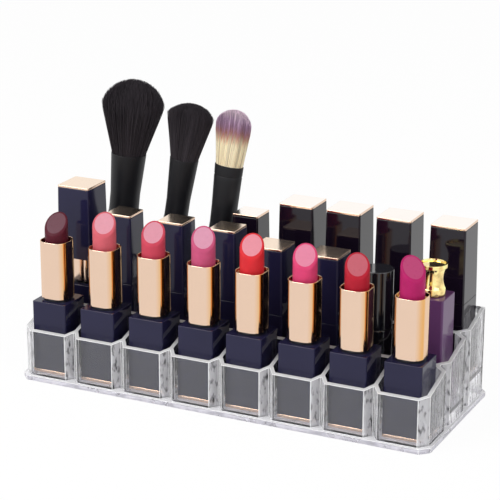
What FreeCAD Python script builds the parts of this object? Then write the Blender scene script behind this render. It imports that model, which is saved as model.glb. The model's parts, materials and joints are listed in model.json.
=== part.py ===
"""Clear lipstick organizer, stocked with lipsticks, a lip gloss, a vial and three brushes.

Millimetres, +Z up, +X along the length, the front facing -Y.
The origin is the centre of the tray's footprint, on the surface that it stands on.
"""
import FreeCAD
import Part
import math
import os

from FreeCAD import Vector

# Tray: one clear moulding of square slots whose walls and floors rise towards the back
COLUMNS = 8
ROWS = 3
SLOT_PITCH = 27.5
TRAY_WALL = 2.0
FRONT_HEIGHT = 26.8
BACK_HEIGHT = 49.7
BACK_TOP_RADIUS = 5.0
BACK_TOP_FACETS = 4
FRONT_FLOOR = 3.2
FLOOR_RISE = 6.7
FLOOR_THICKNESS = 2.2
FLANGE_REACH = 1.5
FLANGE_THICKNESS = 2.6
NOTCH_MOUTH = 6.9
NOTCH_FLOOR = 0.8
NOTCH_DEPTH = 4.3
NOTCH_WALL = 1.8
SLOT_CORNER = 1.5
SLOT_CLEARANCE = 0.3

# Sides and heights of the lipsticks' cases and caps; the open ones are standard cases
STANDARD_SIDE = 19.4
STANDARD_CASE_HEIGHT = 38.2
STANDARD_CAP_HEIGHT = 39.0
LOW_CASE_HEIGHT = 33.2
SLIM_SIDE = 15.5
SLIM_CASE_HEIGHT = 37.0
SLIM_CAP_HEIGHT = 37.0
SHORT_SIDE = 17.5
SHORT_CASE_HEIGHT = 34.0
SHORT_CAP_HEIGHT = 34.5

# Details shared by every lipstick
EDGE_CHAMFER = 0.7
CASE_WALL = 1.5
CASE_TOP = 3.0
FOOT_PLATE = 1.6
COLLAR_HEIGHT = 1.5
SPIGOT_HEIGHT = 1.8
CAP_WALL = 0.85
CAP_CLEARANCE = 0.25
CAP_TOP = 2.5
CAP_TAPER = 1.0
CAP_PLATE = 1.2
TUBE_HEADROOM = 3.6
TUBE_CORNER_SHARE = 0.342
TUBE_WALL = 0.5
TURNING_CLEARANCE = 0.2
CUP_HEIGHT = 6.5
CUP_GAP = 0.3
CUP_FLOOR = 1.0
CUP_WALL = 0.8
WAX_CLEARANCE = 0.1
FACET_SLOPE = 40.0
FACET_ROUNDING = 0.8
TIP_BELOW_RIM = 1.0

# Open lipsticks of the front row: bullet above the rim, facet turn from the front, shift in the slot
BULLET_SHOWS = (14.5, 18.2, 17.3, 18.5, 18.5, 17.4, 16.6, 19.4)
FACET_TURNS = (8.0, 21.0, 18.0, 25.0, 18.0, 20.0, 24.0, 41.0)
FRONT_SHIFTS = (-0.55, -0.3, -0.1, 0.07, -0.3, 0.0, -0.15, 0.07)

# A cap that stands partly drawn off its tube
DRAWN_CAP_LIFT = 14.0

# Round lip gloss
GLOSS_DIAMETER = 15.6
GLOSS_BOTTLE_HEIGHT = 34.0
GLOSS_CAP_HEIGHT = 30.0
GLOSS_WALL = 1.4
GLOSS_NECK_DIAMETER = 10.0
GLOSS_NECK_HEIGHT = 9.0
GLOSS_WAND_DIAMETER = 2.4
GLOSS_TIP_DIAMETER = 4.0
GLOSS_TIP_LENGTH = 9.0
GLOSS_WAND_GAP = 3.0
GLOSS_CLEARANCE = 0.25

# Square vial with a spool-shaped stopper
VIAL_SIDE = 17.0
VIAL_HEIGHT = 55.0
VIAL_WALL = 1.8
STOPPER_HEIGHT = 16.0
STOPPER_TOP_DIAMETER = 13.8
STOPPER_TOP_EDGE = 2.0
STOPPER_WAIST_DIAMETER = 10.2
STOPPER_FOOT_DIAMETER = 12.6
STOPPER_FOOT_HEIGHT = 4.0
STOPPER_DISH = 0.8
STEM_DIAMETER = 6.0
STEM_LENGTH = 12.0
STEM_CLEARANCE = 0.2

# Brushes: every one stands on its rounded foot and leans into the back of its slot
BRUSH_LEAN_BACK = 3.0
BRUSH_FOOT_GAP = 0.15
FERRULE_WALL = 0.6
TENON_LENGTH = 9.0
ROOT_LENGTH = 8.0
GLUE_GAP = 0.05

POWDER_LEAN = 5.0
POWDER_FOOT_DIAMETER = 9.0
POWDER_BULGE_DIAMETER = 18.0
POWDER_JOINT_DIAMETER = 16.0
POWDER_MOUTH_DIAMETER = 18.8
POWDER_HEAD_DIAMETER = 33.7

BLUSH_LEAN = 7.9
BLUSH_FOOT_DIAMETER = 8.0
BLUSH_BULGE_DIAMETER = 15.2
BLUSH_JOINT_DIAMETER = 12.6
BLUSH_MOUTH_WIDTH = 15.5
BLUSH_MOUTH_THICKNESS = 14.2
BLUSH_HEAD_WIDTH = 26.5
BLUSH_HEAD_THICKNESS = 17.2

FOUNDATION_LEAN = 5.4
FOUNDATION_FOOT_DIAMETER = 8.0
FOUNDATION_BULGE_DIAMETER = 14.5
FOUNDATION_JOINT_DIAMETER = 13.8
FOUNDATION_MOUTH_WIDTH = 16.0
FOUNDATION_MOUTH_THICKNESS = 10.4
FOUNDATION_HEAD_WIDTH = 20.3
FOUNDATION_HEAD_THICKNESS = 6.8

# Heights along each brush from its foot, and how far its hair spreads and domes above the ferrule's mouth
BULGE_HEIGHT = 33.0
JOINT_HEIGHT = 58.0
POWDER_MOUTH_HEIGHT = 88.6
POWDER_FLARE_LENGTH = 25.8
POWDER_DOME_RISE = 14.3
BLUSH_MOUTH_HEIGHT = 89.8
BLUSH_FLARE_LENGTH = 22.4
BLUSH_DOME_RISE = 7.3
FOUNDATION_MOUTH_HEIGHT = 88.8
FOUNDATION_FLARE_LENGTH = 19.0
FOUNDATION_DOME_RISE = 10.4

# Values worked out from the sizes above
SLOT_HALF = (SLOT_PITCH - TRAY_WALL) / 2
TRAY_HALF_LENGTH = COLUMNS * SLOT_PITCH / 2 + TRAY_WALL / 2
TRAY_HALF_DEPTH = ROWS * SLOT_PITCH / 2 + TRAY_WALL / 2
TRAY_CORNER = NOTCH_MOUTH / 2 + TRAY_WALL / 2
SLEEVE_HEIGHT = JOINT_HEIGHT + TENON_LENGTH
POWDER_WIDEST_HEIGHT = POWDER_MOUTH_HEIGHT + POWDER_FLARE_LENGTH
POWDER_TIP_HEIGHT = POWDER_WIDEST_HEIGHT + POWDER_DOME_RISE
BLUSH_WIDEST_HEIGHT = BLUSH_MOUTH_HEIGHT + BLUSH_FLARE_LENGTH
BLUSH_TIP_HEIGHT = BLUSH_WIDEST_HEIGHT + BLUSH_DOME_RISE
FOUNDATION_WIDEST_HEIGHT = FOUNDATION_MOUTH_HEIGHT + FOUNDATION_FLARE_LENGTH
FOUNDATION_TIP_HEIGHT = FOUNDATION_WIDEST_HEIGHT + FOUNDATION_DOME_RISE
HAIR_INSET = 2 * (FERRULE_WALL + GLUE_GAP)
Z = Vector(0, 0, 1)


def slot_centre(row, column):
    """Plan position of a slot, rows counted from the front and columns from the left."""
    x = (column - (COLUMNS + 1) / 2) * SLOT_PITCH
    y = (row - (ROWS + 1) / 2) * SLOT_PITCH
    return x, y


def floor_height(row):
    """Height of the floor that the things in a row stand on."""
    return FRONT_FLOOR + (row - 1) * FLOOR_RISE


def slot_place(row, column, width, shift=(0.0, 0.0)):
    """Where a thing of this width stands; the shift is a share of the room that its slot leaves."""
    x, y = slot_centre(row, column)
    room = SLOT_HALF - width / 2 - SLOT_CLEARANCE
    return Vector(x + shift[0] * room, y + shift[1] * room, floor_height(row))


def prism(points, bottom, top):
    """Upright prism over a closed outline of (x, y) points."""
    corners = [Vector(x, y, bottom) for x, y in points]
    face = Part.Face(Part.makePolygon(corners + corners[:1]))
    return face.extrude(Vector(0, 0, top - bottom))


def chamfered_square(side, cut):
    """Outline of a square whose four corners are cut off."""
    half = side / 2
    near = half - cut
    return [(near, -half), (half, -near), (half, near), (near, half),
            (-near, half), (-half, near), (-half, -near), (-near, -half)]


def tapered_prism(bottom_side, top_side, bottom, top):
    """Upright square block with cut edges whose side changes evenly with height."""
    wires = []
    for side, height in ((bottom_side, bottom), (top_side, top)):
        corners = [Vector(x, y, height) for x, y in chamfered_square(side, EDGE_CHAMFER)]
        wires.append(Part.makePolygon(corners + corners[:1]))
    return Part.makeLoft(wires, True, True)


def cylinder(diameter, bottom, top):
    """Upright cylinder on the Z axis."""
    return Part.makeCylinder(diameter / 2, top - bottom, Vector(0, 0, bottom))


def rounded_square_prism(side, radius, bottom, top):
    """Upright prism over a square with rounded corners."""
    half = side / 2
    start = half - radius
    middle = start + radius * math.sqrt(0.5)
    edges = []
    for quarter in range(4):
        turn = FreeCAD.Rotation(Z, 90 * quarter)
        ends = [turn.multVec(Vector(x, y, bottom)) for x, y in
                ((half, -start), (half, start), (middle, middle), (start, half))]
        edges.append(Part.LineSegment(ends[0], ends[1]).toShape())
        edges.append(Part.Arc(ends[1], ends[2], ends[3]).toShape())
    return Part.Face(Part.Wire(edges)).extrude(Vector(0, 0, top - bottom))


def oval_wire(width, thickness, height, shift=0.0):
    """Level ellipse, wider along X unless both sizes are equal."""
    centre = Vector(shift, 0, height)
    if math.isclose(width, thickness):
        return Part.Wire(Part.makeCircle(width / 2, centre))
    ellipse = Part.Ellipse(centre, max(width, thickness) / 2, min(width, thickness) / 2)
    edge = ellipse.toShape()
    if thickness > width:
        edge.rotate(centre, Z, 90)
    return Part.Wire(edge)


def turned(edges):
    """Solid turned about the Z axis from a closed outline drawn in the XZ plane."""
    return Part.Face(Part.Wire(edges)).revolve(Vector(0, 0, 0), Z, 360)


def line(start, end):
    """Straight edge between two (radius, height) points."""
    return Part.LineSegment(Vector(start[0], 0, start[1]), Vector(end[0], 0, end[1])).toShape()


def arc(start, middle, end):
    """Arc edge through three (radius, height) points."""
    return Part.Arc(*(Vector(r, 0, h) for r, h in (start, middle, end))).toShape()


# Tray
def notch_cut():
    """Lengths that a notch's slanted wall takes off a slot's corner, along its face and into the tray."""
    rise = (NOTCH_MOUTH - NOTCH_FLOOR) / 2
    length = math.hypot(rise, NOTCH_DEPTH)
    outer = SLOT_PITCH / 2 + TRAY_WALL / 2
    start_x = SLOT_PITCH / 2 - NOTCH_MOUTH / 2 - NOTCH_WALL * NOTCH_DEPTH / length
    start_y = outer - NOTCH_WALL * rise / length
    along = SLOT_HALF - (start_x + (start_y - SLOT_HALF) * rise / NOTCH_DEPTH)
    inward = SLOT_HALF - (start_y - (SLOT_HALF - start_x) * NOTCH_DEPTH / rise)
    return along, inward


def slot_outline(row, column):
    """Slot seen from above: a square whose corners follow the notches and the tray's cut corners."""
    x, y = slot_centre(row, column)
    along, inward = notch_cut()
    tray_corner = TRAY_CORNER - 2 * TRAY_WALL + NOTCH_WALL * math.sqrt(2)
    points = []
    for side_x, side_y in ((1, -1), (1, 1), (-1, 1), (-1, -1)):
        at_end = column == (COLUMNS if side_x > 0 else 1)
        at_face = row == (ROWS if side_y > 0 else 1)
        cut_x, cut_y = SLOT_CORNER, SLOT_CORNER
        if at_end and at_face:
            cut_x, cut_y = tray_corner, tray_corner
        elif at_face:
            cut_x, cut_y = along, inward
        elif at_end:
            cut_x, cut_y = inward, along
        pair = [(x + side_x * (SLOT_HALF - cut_x), y + side_y * SLOT_HALF),
                (x + side_x * SLOT_HALF, y + side_y * (SLOT_HALF - cut_y))]
        points += pair if side_x * side_y < 0 else pair[::-1]
    return points


def face_points(half_run, reach, count):
    """One outer face of the tray from above, with a notch between each two slots."""
    points = [(-half_run + TRAY_CORNER, reach)]
    for index in range(1, count):
        middle = (index - count / 2) * SLOT_PITCH
        points += [(middle - NOTCH_MOUTH / 2, reach), (middle - NOTCH_FLOOR / 2, reach - NOTCH_DEPTH),
                   (middle + NOTCH_FLOOR / 2, reach - NOTCH_DEPTH), (middle + NOTCH_MOUTH / 2, reach)]
    points.append((half_run - TRAY_CORNER, reach))
    return points


def tray_outline():
    """Outer outline of the tray's walls, counter-clockwise from the front left."""
    long_face = face_points(TRAY_HALF_LENGTH, TRAY_HALF_DEPTH, COLUMNS)
    short_face = face_points(TRAY_HALF_DEPTH, TRAY_HALF_LENGTH, ROWS)
    front = [(u, -v) for u, v in long_face]
    right = [(v, u) for u, v in short_face]
    back = [(-u, v) for u, v in long_face]
    left = [(-v, -u) for u, v in short_face]
    return front + right + back + left


def back_ridge():
    """Points of the narrow facets that round the tray's top back edge over, from the back to the top."""
    slope = math.atan2(BACK_HEIGHT - FRONT_HEIGHT, 2 * TRAY_HALF_DEPTH)
    corner = Vector(0, TRAY_HALF_DEPTH, BACK_HEIGHT)
    down = Vector(0, 0, -1)
    forward = Vector(0, -math.cos(slope), -math.sin(slope))
    half_angle = down.getAngle(forward) / 2
    inward = (down + forward).normalize()
    run = BACK_TOP_RADIUS / math.tan(half_angle)
    middle = corner + inward * (BACK_TOP_RADIUS / math.sin(half_angle) - BACK_TOP_RADIUS)
    bend = Part.Arc(corner + down * run, middle, corner + forward * run).toShape()
    return [(point.y, point.z) for point in bend.discretize(BACK_TOP_FACETS + 1)]


def sloping_block():
    """Block whose top slopes up to the back and is rounded over at its back edge."""
    profile = [(-TRAY_HALF_DEPTH, 0), (TRAY_HALF_DEPTH, 0)] + back_ridge() + [(-TRAY_HALF_DEPTH, FRONT_HEIGHT)]
    corners = [Vector(-TRAY_HALF_LENGTH, y, z) for y, z in profile]
    return Part.Face(Part.makePolygon(corners + corners[:1])).extrude(Vector(2 * TRAY_HALF_LENGTH, 0, 0))


def organizer_tray():
    """The clear tray: walls, slot floors hollow underneath, and a flange all round its foot."""
    walls = prism(tray_outline(), 0, BACK_HEIGHT).common(sloping_block())
    length = TRAY_HALF_LENGTH + FLANGE_REACH
    depth = TRAY_HALF_DEPTH + FLANGE_REACH
    cut = TRAY_CORNER
    flange = prism([(length - cut, -depth), (length, cut - depth), (length, depth - cut), (length - cut, depth),
                    (cut - length, depth), (-length, depth - cut), (-length, cut - depth), (cut - length, -depth)],
                   0, FLANGE_THICKNESS)
    hollows = []
    for row in range(1, ROWS + 1):
        for column in range(1, COLUMNS + 1):
            outline = slot_outline(row, column)
            hollows.append(prism(outline, floor_height(row), BACK_HEIGHT + TRAY_WALL))
            hollows.append(prism(outline, -FLOOR_THICKNESS, floor_height(row) - FLOOR_THICKNESS))
    return walls.fuse(flange).cut(Part.makeCompound(hollows)).removeSplitter()


# Lipsticks
def tube_side(side):
    """Side of the rounded square tube that a cap of this side slips over."""
    across = side - 2 * (CAP_WALL + CAP_CLEARANCE)
    return across / (math.sqrt(2) - 2 * TUBE_CORNER_SHARE * (math.sqrt(2) - 1))


def rim_height(case_height, cap_height):
    """Height of the tube's rim above the foot of the case."""
    return case_height + cap_height - CAP_PLATE - CAP_TOP - TUBE_HEADROOM


def wax_diameter(side):
    """Diameter of the bullet in a lipstick of this side."""
    return tube_side(side) - 2 * (TUBE_WALL + TURNING_CLEARANCE + CUP_WALL + WAX_CLEARANCE)


def lipstick_case(side, case_height):
    """Hollow case with a collar and spigot for the tube, and the metal plate under its foot."""
    shoulder = case_height + COLLAR_HEIGHT
    inner = tube_side(side) - 2 * TUBE_WALL
    shell = prism(chamfered_square(side, EDGE_CHAMFER), FOOT_PLATE, case_height)
    shell = shell.fuse(cylinder(tube_side(side), case_height, shoulder))
    shell = shell.fuse(cylinder(inner - 2 * TURNING_CLEARANCE, shoulder, shoulder + SPIGOT_HEIGHT))
    hollow = prism(chamfered_square(side - 2 * CASE_WALL, EDGE_CHAMFER), FOOT_PLATE, case_height - CASE_TOP)
    plate = prism(chamfered_square(side, EDGE_CHAMFER), 0, FOOT_PLATE)
    return [shell.cut(hollow).removeSplitter(), plate]


def lipstick_tube(side, case_height, cap_height):
    """Bright tube of one wall thickness that stands on the case's collar."""
    bottom = case_height + COLLAR_HEIGHT
    top = rim_height(case_height, cap_height)
    outer = tube_side(side)
    radius = outer * TUBE_CORNER_SHARE
    tube = rounded_square_prism(outer, radius, bottom, top)
    bore = rounded_square_prism(outer - 2 * TUBE_WALL, radius - TUBE_WALL, bottom, top)
    return tube.cut(bore)


def wax_length(case_height, cap_height):
    """Length of wax above the cup, so that the tip goes down to just below the rim."""
    cup_lowest = case_height + COLLAR_HEIGHT + SPIGOT_HEIGHT + CUP_GAP
    return rim_height(case_height, cap_height) - TIP_BELOW_RIM - CUP_HEIGHT - cup_lowest


def lipstick_bullet(side, tip, length, facet_turn):
    """Wax bullet with a slanted facet, standing in the cup that carries it."""
    diameter = wax_diameter(side)
    cup_outer = tube_side(side) - 2 * (TUBE_WALL + TURNING_CLEARANCE)
    cup_top = tip - length
    cup_bottom = cup_top - CUP_HEIGHT
    cup = cylinder(cup_outer, cup_bottom, cup_top)
    cup = cup.cut(cylinder(cup_outer - 2 * CUP_WALL, cup_bottom + CUP_FLOOR, cup_top))
    wax = cylinder(diameter, cup_bottom + CUP_FLOOR, tip)
    slope = math.radians(FACET_SLOPE)
    reach = 4 * diameter
    above = Part.makeBox(reach, reach, reach, Vector(-reach / 2, -reach / 2, 0))
    above.rotate(Vector(0, 0, 0), Vector(1, 0, 0), FACET_SLOPE)
    above.translate(Vector(0, 0, tip - diameter / 2 * math.tan(slope)))
    wax = wax.cut(above)
    facet_edges = max((face for face in wax.Faces if face.Surface.TypeId == "Part::GeomPlane"),
                      key=lambda face: face.CenterOfMass.z).Edges
    wax = wax.makeFillet(FACET_ROUNDING, facet_edges)
    wax.rotate(Vector(0, 0, 0), Z, facet_turn)
    return [cup, wax]


def lipstick_cap(side, case_height, cap_height):
    """Slightly tapered square cap with a round bore, and the metal plate on its top."""
    bottom = case_height
    plate_bottom = case_height + cap_height - CAP_PLATE
    top_side = side - CAP_TAPER
    shell = tapered_prism(side, top_side, bottom, plate_bottom)
    shell = shell.cut(cylinder(side - 2 * CAP_WALL, bottom, plate_bottom - CAP_TOP))
    plate = prism(chamfered_square(top_side, EDGE_CHAMFER), plate_bottom, plate_bottom + CAP_PLATE)
    return [shell, plate]


# Lip gloss and vial
def gloss_bottle():
    """Hollow round bottle with a neck."""
    shoulder = GLOSS_BOTTLE_HEIGHT
    mouth = shoulder + GLOSS_NECK_HEIGHT
    bottle = cylinder(GLOSS_DIAMETER, 0, shoulder).fuse(cylinder(GLOSS_NECK_DIAMETER, shoulder, mouth))
    bottle = bottle.cut(cylinder(GLOSS_DIAMETER - 2 * GLOSS_WALL, GLOSS_WALL, shoulder - GLOSS_WALL))
    bottle = bottle.cut(cylinder(GLOSS_NECK_DIAMETER - 2 * GLOSS_WALL, shoulder - GLOSS_WALL, mouth))
    return [bottle.removeSplitter()]


def gloss_cap():
    """Round cap over the neck, with its wand and the soft tip on the wand's end."""
    bottom = GLOSS_BOTTLE_HEIGHT
    top = bottom + GLOSS_CAP_HEIGHT
    seat = bottom + GLOSS_NECK_HEIGHT + GLOSS_CLEARANCE
    tip_top = GLOSS_WALL + GLOSS_WAND_GAP + GLOSS_TIP_LENGTH
    cap = cylinder(GLOSS_DIAMETER, bottom, top)
    cap = cap.cut(cylinder(GLOSS_NECK_DIAMETER + 2 * GLOSS_CLEARANCE, bottom, seat))
    wand = cylinder(GLOSS_WAND_DIAMETER, tip_top, seat)
    tip = cylinder(GLOSS_TIP_DIAMETER, tip_top - GLOSS_TIP_LENGTH, tip_top)
    return [cap, wand, tip]


def vial_body():
    """Tall square vial, hollow, with a bore for the stopper's stem."""
    body = prism(chamfered_square(VIAL_SIDE, EDGE_CHAMFER), 0, VIAL_HEIGHT)
    neck = VIAL_HEIGHT - STEM_LENGTH
    body = body.cut(prism(chamfered_square(VIAL_SIDE - 2 * VIAL_WALL, EDGE_CHAMFER), VIAL_WALL, neck))
    return [body.cut(cylinder(STEM_DIAMETER + 2 * STEM_CLEARANCE, neck, VIAL_HEIGHT))]


def vial_stopper():
    """Spool-shaped stopper with a dished top and a stem that fits the vial's bore."""
    foot = VIAL_HEIGHT
    top = foot + STOPPER_HEIGHT
    foot_top = foot + STOPPER_FOOT_HEIGHT
    edge_bottom = top - STOPPER_TOP_EDGE
    waist = (foot_top + edge_bottom) / 2
    stem, waist_radius = STEM_DIAMETER / 2, STOPPER_WAIST_DIAMETER / 2
    foot_radius, top_radius = STOPPER_FOOT_DIAMETER / 2, STOPPER_TOP_DIAMETER / 2
    dish_radius = top_radius - STOPPER_DISH
    outline = [line((0, foot - STEM_LENGTH), (stem, foot - STEM_LENGTH)),
               line((stem, foot - STEM_LENGTH), (stem, foot)),
               line((stem, foot), (foot_radius, foot)),
               line((foot_radius, foot), (foot_radius, foot_top)),
               arc((foot_radius, foot_top), (waist_radius, waist), (top_radius, edge_bottom)),
               line((top_radius, edge_bottom), (top_radius, top)),
               line((top_radius, top), (dish_radius, top)),
               line((dish_radius, top), (dish_radius, top - STOPPER_DISH)),
               line((dish_radius, top - STOPPER_DISH), (0, top - STOPPER_DISH)),
               line((0, top - STOPPER_DISH), (0, foot - STEM_LENGTH))]
    return [turned(outline)]


# Brushes
def brush_handle(foot_diameter, bulge_diameter, joint_diameter):
    """Turned handle with a rounded foot, a swelling and a tenon for the ferrule."""
    foot, bulge, joint = foot_diameter / 2, bulge_diameter / 2, joint_diameter / 2
    tenon = joint - FERRULE_WALL - GLUE_GAP
    cap_middle = (foot * math.sqrt(0.5), foot * (1 - math.sqrt(0.5)))
    return turned([arc((0, 0), cap_middle, (foot, foot)),
                   arc((foot, foot), (bulge, BULGE_HEIGHT), (joint, JOINT_HEIGHT)),
                   line((joint, JOINT_HEIGHT), (tenon, JOINT_HEIGHT)),
                   line((tenon, JOINT_HEIGHT), (tenon, SLEEVE_HEIGHT)),
                   line((tenon, SLEEVE_HEIGHT), (0, SLEEVE_HEIGHT)),
                   line((0, SLEEVE_HEIGHT), (0, 0))])


def brush_ferrule(joint_diameter, width, thickness, mouth_height):
    """Thin metal sleeve, round over the tenon and as wide and flat as the hair at its mouth."""
    bore = joint_diameter - 2 * FERRULE_WALL
    sleeve = cylinder(joint_diameter, JOINT_HEIGHT, SLEEVE_HEIGHT)
    sleeve = sleeve.cut(cylinder(bore, JOINT_HEIGHT, SLEEVE_HEIGHT))
    flare = Part.makeLoft([oval_wire(joint_diameter, joint_diameter, SLEEVE_HEIGHT),
                           oval_wire(width, thickness, mouth_height)], True, True)
    inside = Part.makeLoft([oval_wire(bore, bore, SLEEVE_HEIGHT),
                            oval_wire(width - 2 * FERRULE_WALL, thickness - 2 * FERRULE_WALL, mouth_height)],
                           True, True)
    return sleeve.fuse(flare.cut(inside)).removeSplitter()


def root_size(joint_diameter, mouth_size, mouth_height):
    """Width or thickness of the hair's root at its lower end, inside the ferrule."""
    share = ROOT_LENGTH / (mouth_height - SLEEVE_HEIGHT)
    return mouth_size + (joint_diameter - mouth_size) * share - HAIR_INSET


def hair_root(joint_diameter, width, thickness, mouth_height):
    """Bound root of the hair, glued in the ferrule's mouth."""
    low_width = root_size(joint_diameter, width, mouth_height)
    low_thickness = root_size(joint_diameter, thickness, mouth_height)
    return Part.makeLoft([oval_wire(low_width, low_thickness, mouth_height - ROOT_LENGTH),
                          oval_wire(width - HAIR_INSET, thickness - HAIR_INSET, mouth_height)], True, True)


def flared_hair(mouth, head, mouth_height, widest_height, top_height):
    """Hair that spreads evenly from the ferrule's mouth to its widest place and stays as wide above it."""
    low = Part.makeLoft([oval_wire(mouth[0] - HAIR_INSET, mouth[1] - HAIR_INSET, mouth_height),
                         oval_wire(head[0], head[1], widest_height)], True, True)
    high = Part.makeLoft([oval_wire(head[0], head[1], widest_height),
                          oval_wire(head[0], head[1], top_height)], True, True)
    return low.fuse(high)


def dome_radius(width, rise):
    """Radius of a dome of this width and rise."""
    half = width / 2
    return (half ** 2 + rise ** 2) / (2 * rise)


def powder_hair():
    """Full round head with a domed top, and its root."""
    rise = POWDER_DOME_RISE
    half = POWDER_HEAD_DIAMETER / 2
    mouth = (POWDER_MOUTH_DIAMETER - HAIR_INSET) / 2
    root = root_size(POWDER_JOINT_DIAMETER, POWDER_MOUTH_DIAMETER, POWDER_MOUTH_HEIGHT) / 2
    root_height = POWDER_MOUTH_HEIGHT - ROOT_LENGTH
    radius = dome_radius(POWDER_HEAD_DIAMETER, rise)
    middle_angle = (math.asin((radius - rise) / radius) + math.pi / 2) / 2
    middle = (radius * math.cos(middle_angle), POWDER_TIP_HEIGHT - radius + radius * math.sin(middle_angle))
    return turned([line((0, root_height), (root, root_height)),
                   line((root, root_height), (mouth, POWDER_MOUTH_HEIGHT)),
                   line((mouth, POWDER_MOUTH_HEIGHT), (half, POWDER_WIDEST_HEIGHT)),
                   arc((half, POWDER_WIDEST_HEIGHT), middle, (0, POWDER_TIP_HEIGHT)),
                   line((0, POWDER_TIP_HEIGHT), (0, root_height))])


def blush_hair():
    """Full, slightly flattened head with a domed top."""
    radius = dome_radius(BLUSH_HEAD_WIDTH, BLUSH_DOME_RISE)
    centre_height = BLUSH_TIP_HEIGHT - radius
    dome = Part.makeSphere(radius, Vector(0, 0, centre_height))
    hair = flared_hair((BLUSH_MOUTH_WIDTH, BLUSH_MOUTH_THICKNESS), (BLUSH_HEAD_WIDTH, BLUSH_HEAD_THICKNESS),
                       BLUSH_MOUTH_HEIGHT, BLUSH_WIDEST_HEIGHT, BLUSH_TIP_HEIGHT)
    return hair.common(dome_column(dome, BLUSH_HEAD_WIDTH, BLUSH_MOUTH_HEIGHT, centre_height))


def foundation_hair():
    """Flat head with a rounded end."""
    radius = dome_radius(FOUNDATION_HEAD_WIDTH, FOUNDATION_DOME_RISE)
    centre = Vector(0, -FOUNDATION_HEAD_THICKNESS, FOUNDATION_TIP_HEIGHT - radius)
    dome = Part.makeCylinder(radius, 2 * FOUNDATION_HEAD_THICKNESS, centre, Vector(0, 1, 0))
    hair = flared_hair((FOUNDATION_MOUTH_WIDTH, FOUNDATION_MOUTH_THICKNESS),
                       (FOUNDATION_HEAD_WIDTH, FOUNDATION_HEAD_THICKNESS),
                       FOUNDATION_MOUTH_HEIGHT, FOUNDATION_WIDEST_HEIGHT, FOUNDATION_TIP_HEIGHT)
    return hair.common(dome_column(dome, FOUNDATION_HEAD_WIDTH, FOUNDATION_MOUTH_HEIGHT,
                                   FOUNDATION_TIP_HEIGHT - radius))


def dome_column(dome, width, bottom, centre_height):
    """A dome together with all the space below its centre."""
    reach = 2 * width
    below = Part.makeBox(2 * reach, 2 * reach, centre_height - bottom, Vector(-reach, -reach, bottom))
    return dome.fuse(below)


# Where things stand
def front_place(index):
    """Place of an open lipstick, counted from 1 at the left."""
    return slot_place(1, index, STANDARD_SIDE, (FRONT_SHIFTS[index - 1], 0.0))


STANDARD = (STANDARD_SIDE, STANDARD_CASE_HEIGHT, STANDARD_CAP_HEIGHT)
LOW = (STANDARD_SIDE, LOW_CASE_HEIGHT, STANDARD_CAP_HEIGHT)
SLIM = (SLIM_SIDE, SLIM_CASE_HEIGHT, SLIM_CAP_HEIGHT)
SHORT = (SHORT_SIDE, SHORT_CASE_HEIGHT, SHORT_CAP_HEIGHT)
SLIM_SHORT = (SLIM_SIDE, SHORT_CASE_HEIGHT, SHORT_CAP_HEIGHT)

# Closed lipsticks: name, row, column, sizes, shift in the slot, how far the cap is drawn up
CLOSED_LIPSTICKS = (
    ("middle_lipstick_1", 2, 1, LOW, (-0.8, 0.0), DRAWN_CAP_LIFT),
    ("middle_lipstick_2", 2, 2, SLIM, (-0.95, 0.0), 0.0),
    ("middle_lipstick_3", 2, 3, SLIM, (-0.38, 0.0), 0.0),
    ("middle_lipstick_4", 2, 4, SLIM, (0.0, 0.0), 0.0),
    ("middle_lipstick_5", 2, 5, SHORT, (-0.53, 0.0), 0.0),
    ("middle_lipstick_6", 2, 6, SHORT, (0.18, 0.0), 0.0),
    ("rear_lipstick_4", 3, 4, SLIM_SHORT, (0.2, -0.55), 0.0),
    ("rear_lipstick_5", 3, 5, STANDARD, (0.58, 0.0), 0.0),
    ("rear_lipstick_6", 3, 6, STANDARD, (0.0, 0.0), 0.0),
    ("rear_lipstick_7", 3, 7, STANDARD, (-0.18, 0.0), 0.0),
    ("rear_lipstick_8", 3, 8, STANDARD, (0.18, 0.0), 0.0),
)

GLOSS_PLACE = slot_place(2, 7, GLOSS_DIAMETER, (-0.1, 0.0))
VIAL_PLACE = slot_place(2, 8, VIAL_SIDE, (0.08, 0.0))

# Brushes: name, column, lean to the right, foot diameter, shift of the foot in the slot
BRUSHES = (
    ("powder_brush", 1, POWDER_LEAN, POWDER_FOOT_DIAMETER, (0.0, 0.2)),
    ("blush_brush", 2, BLUSH_LEAN, BLUSH_FOOT_DIAMETER, (0.07, 0.34)),
    ("foundation_brush", 3, FOUNDATION_LEAN, FOUNDATION_FOOT_DIAMETER, (0.34, 0.42)),
)


def brush_axis(lean_right):
    """Direction from a brush's foot to its head."""
    axis = Vector(math.tan(math.radians(lean_right)), math.tan(math.radians(BRUSH_LEAN_BACK)), 1)
    return axis.normalize()


def brush_placement(column, lean_right, foot_diameter, shift):
    """Stands a brush, made upright on the origin, on its slot's floor and leans it over."""
    axis = brush_axis(lean_right)
    foot = foot_diameter / 2
    place = slot_place(ROWS, column, foot_diameter, shift) + Vector(0, 0, foot + BRUSH_FOOT_GAP)
    return FreeCAD.Placement(place - axis * foot, FreeCAD.Rotation(Z, axis))


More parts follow.
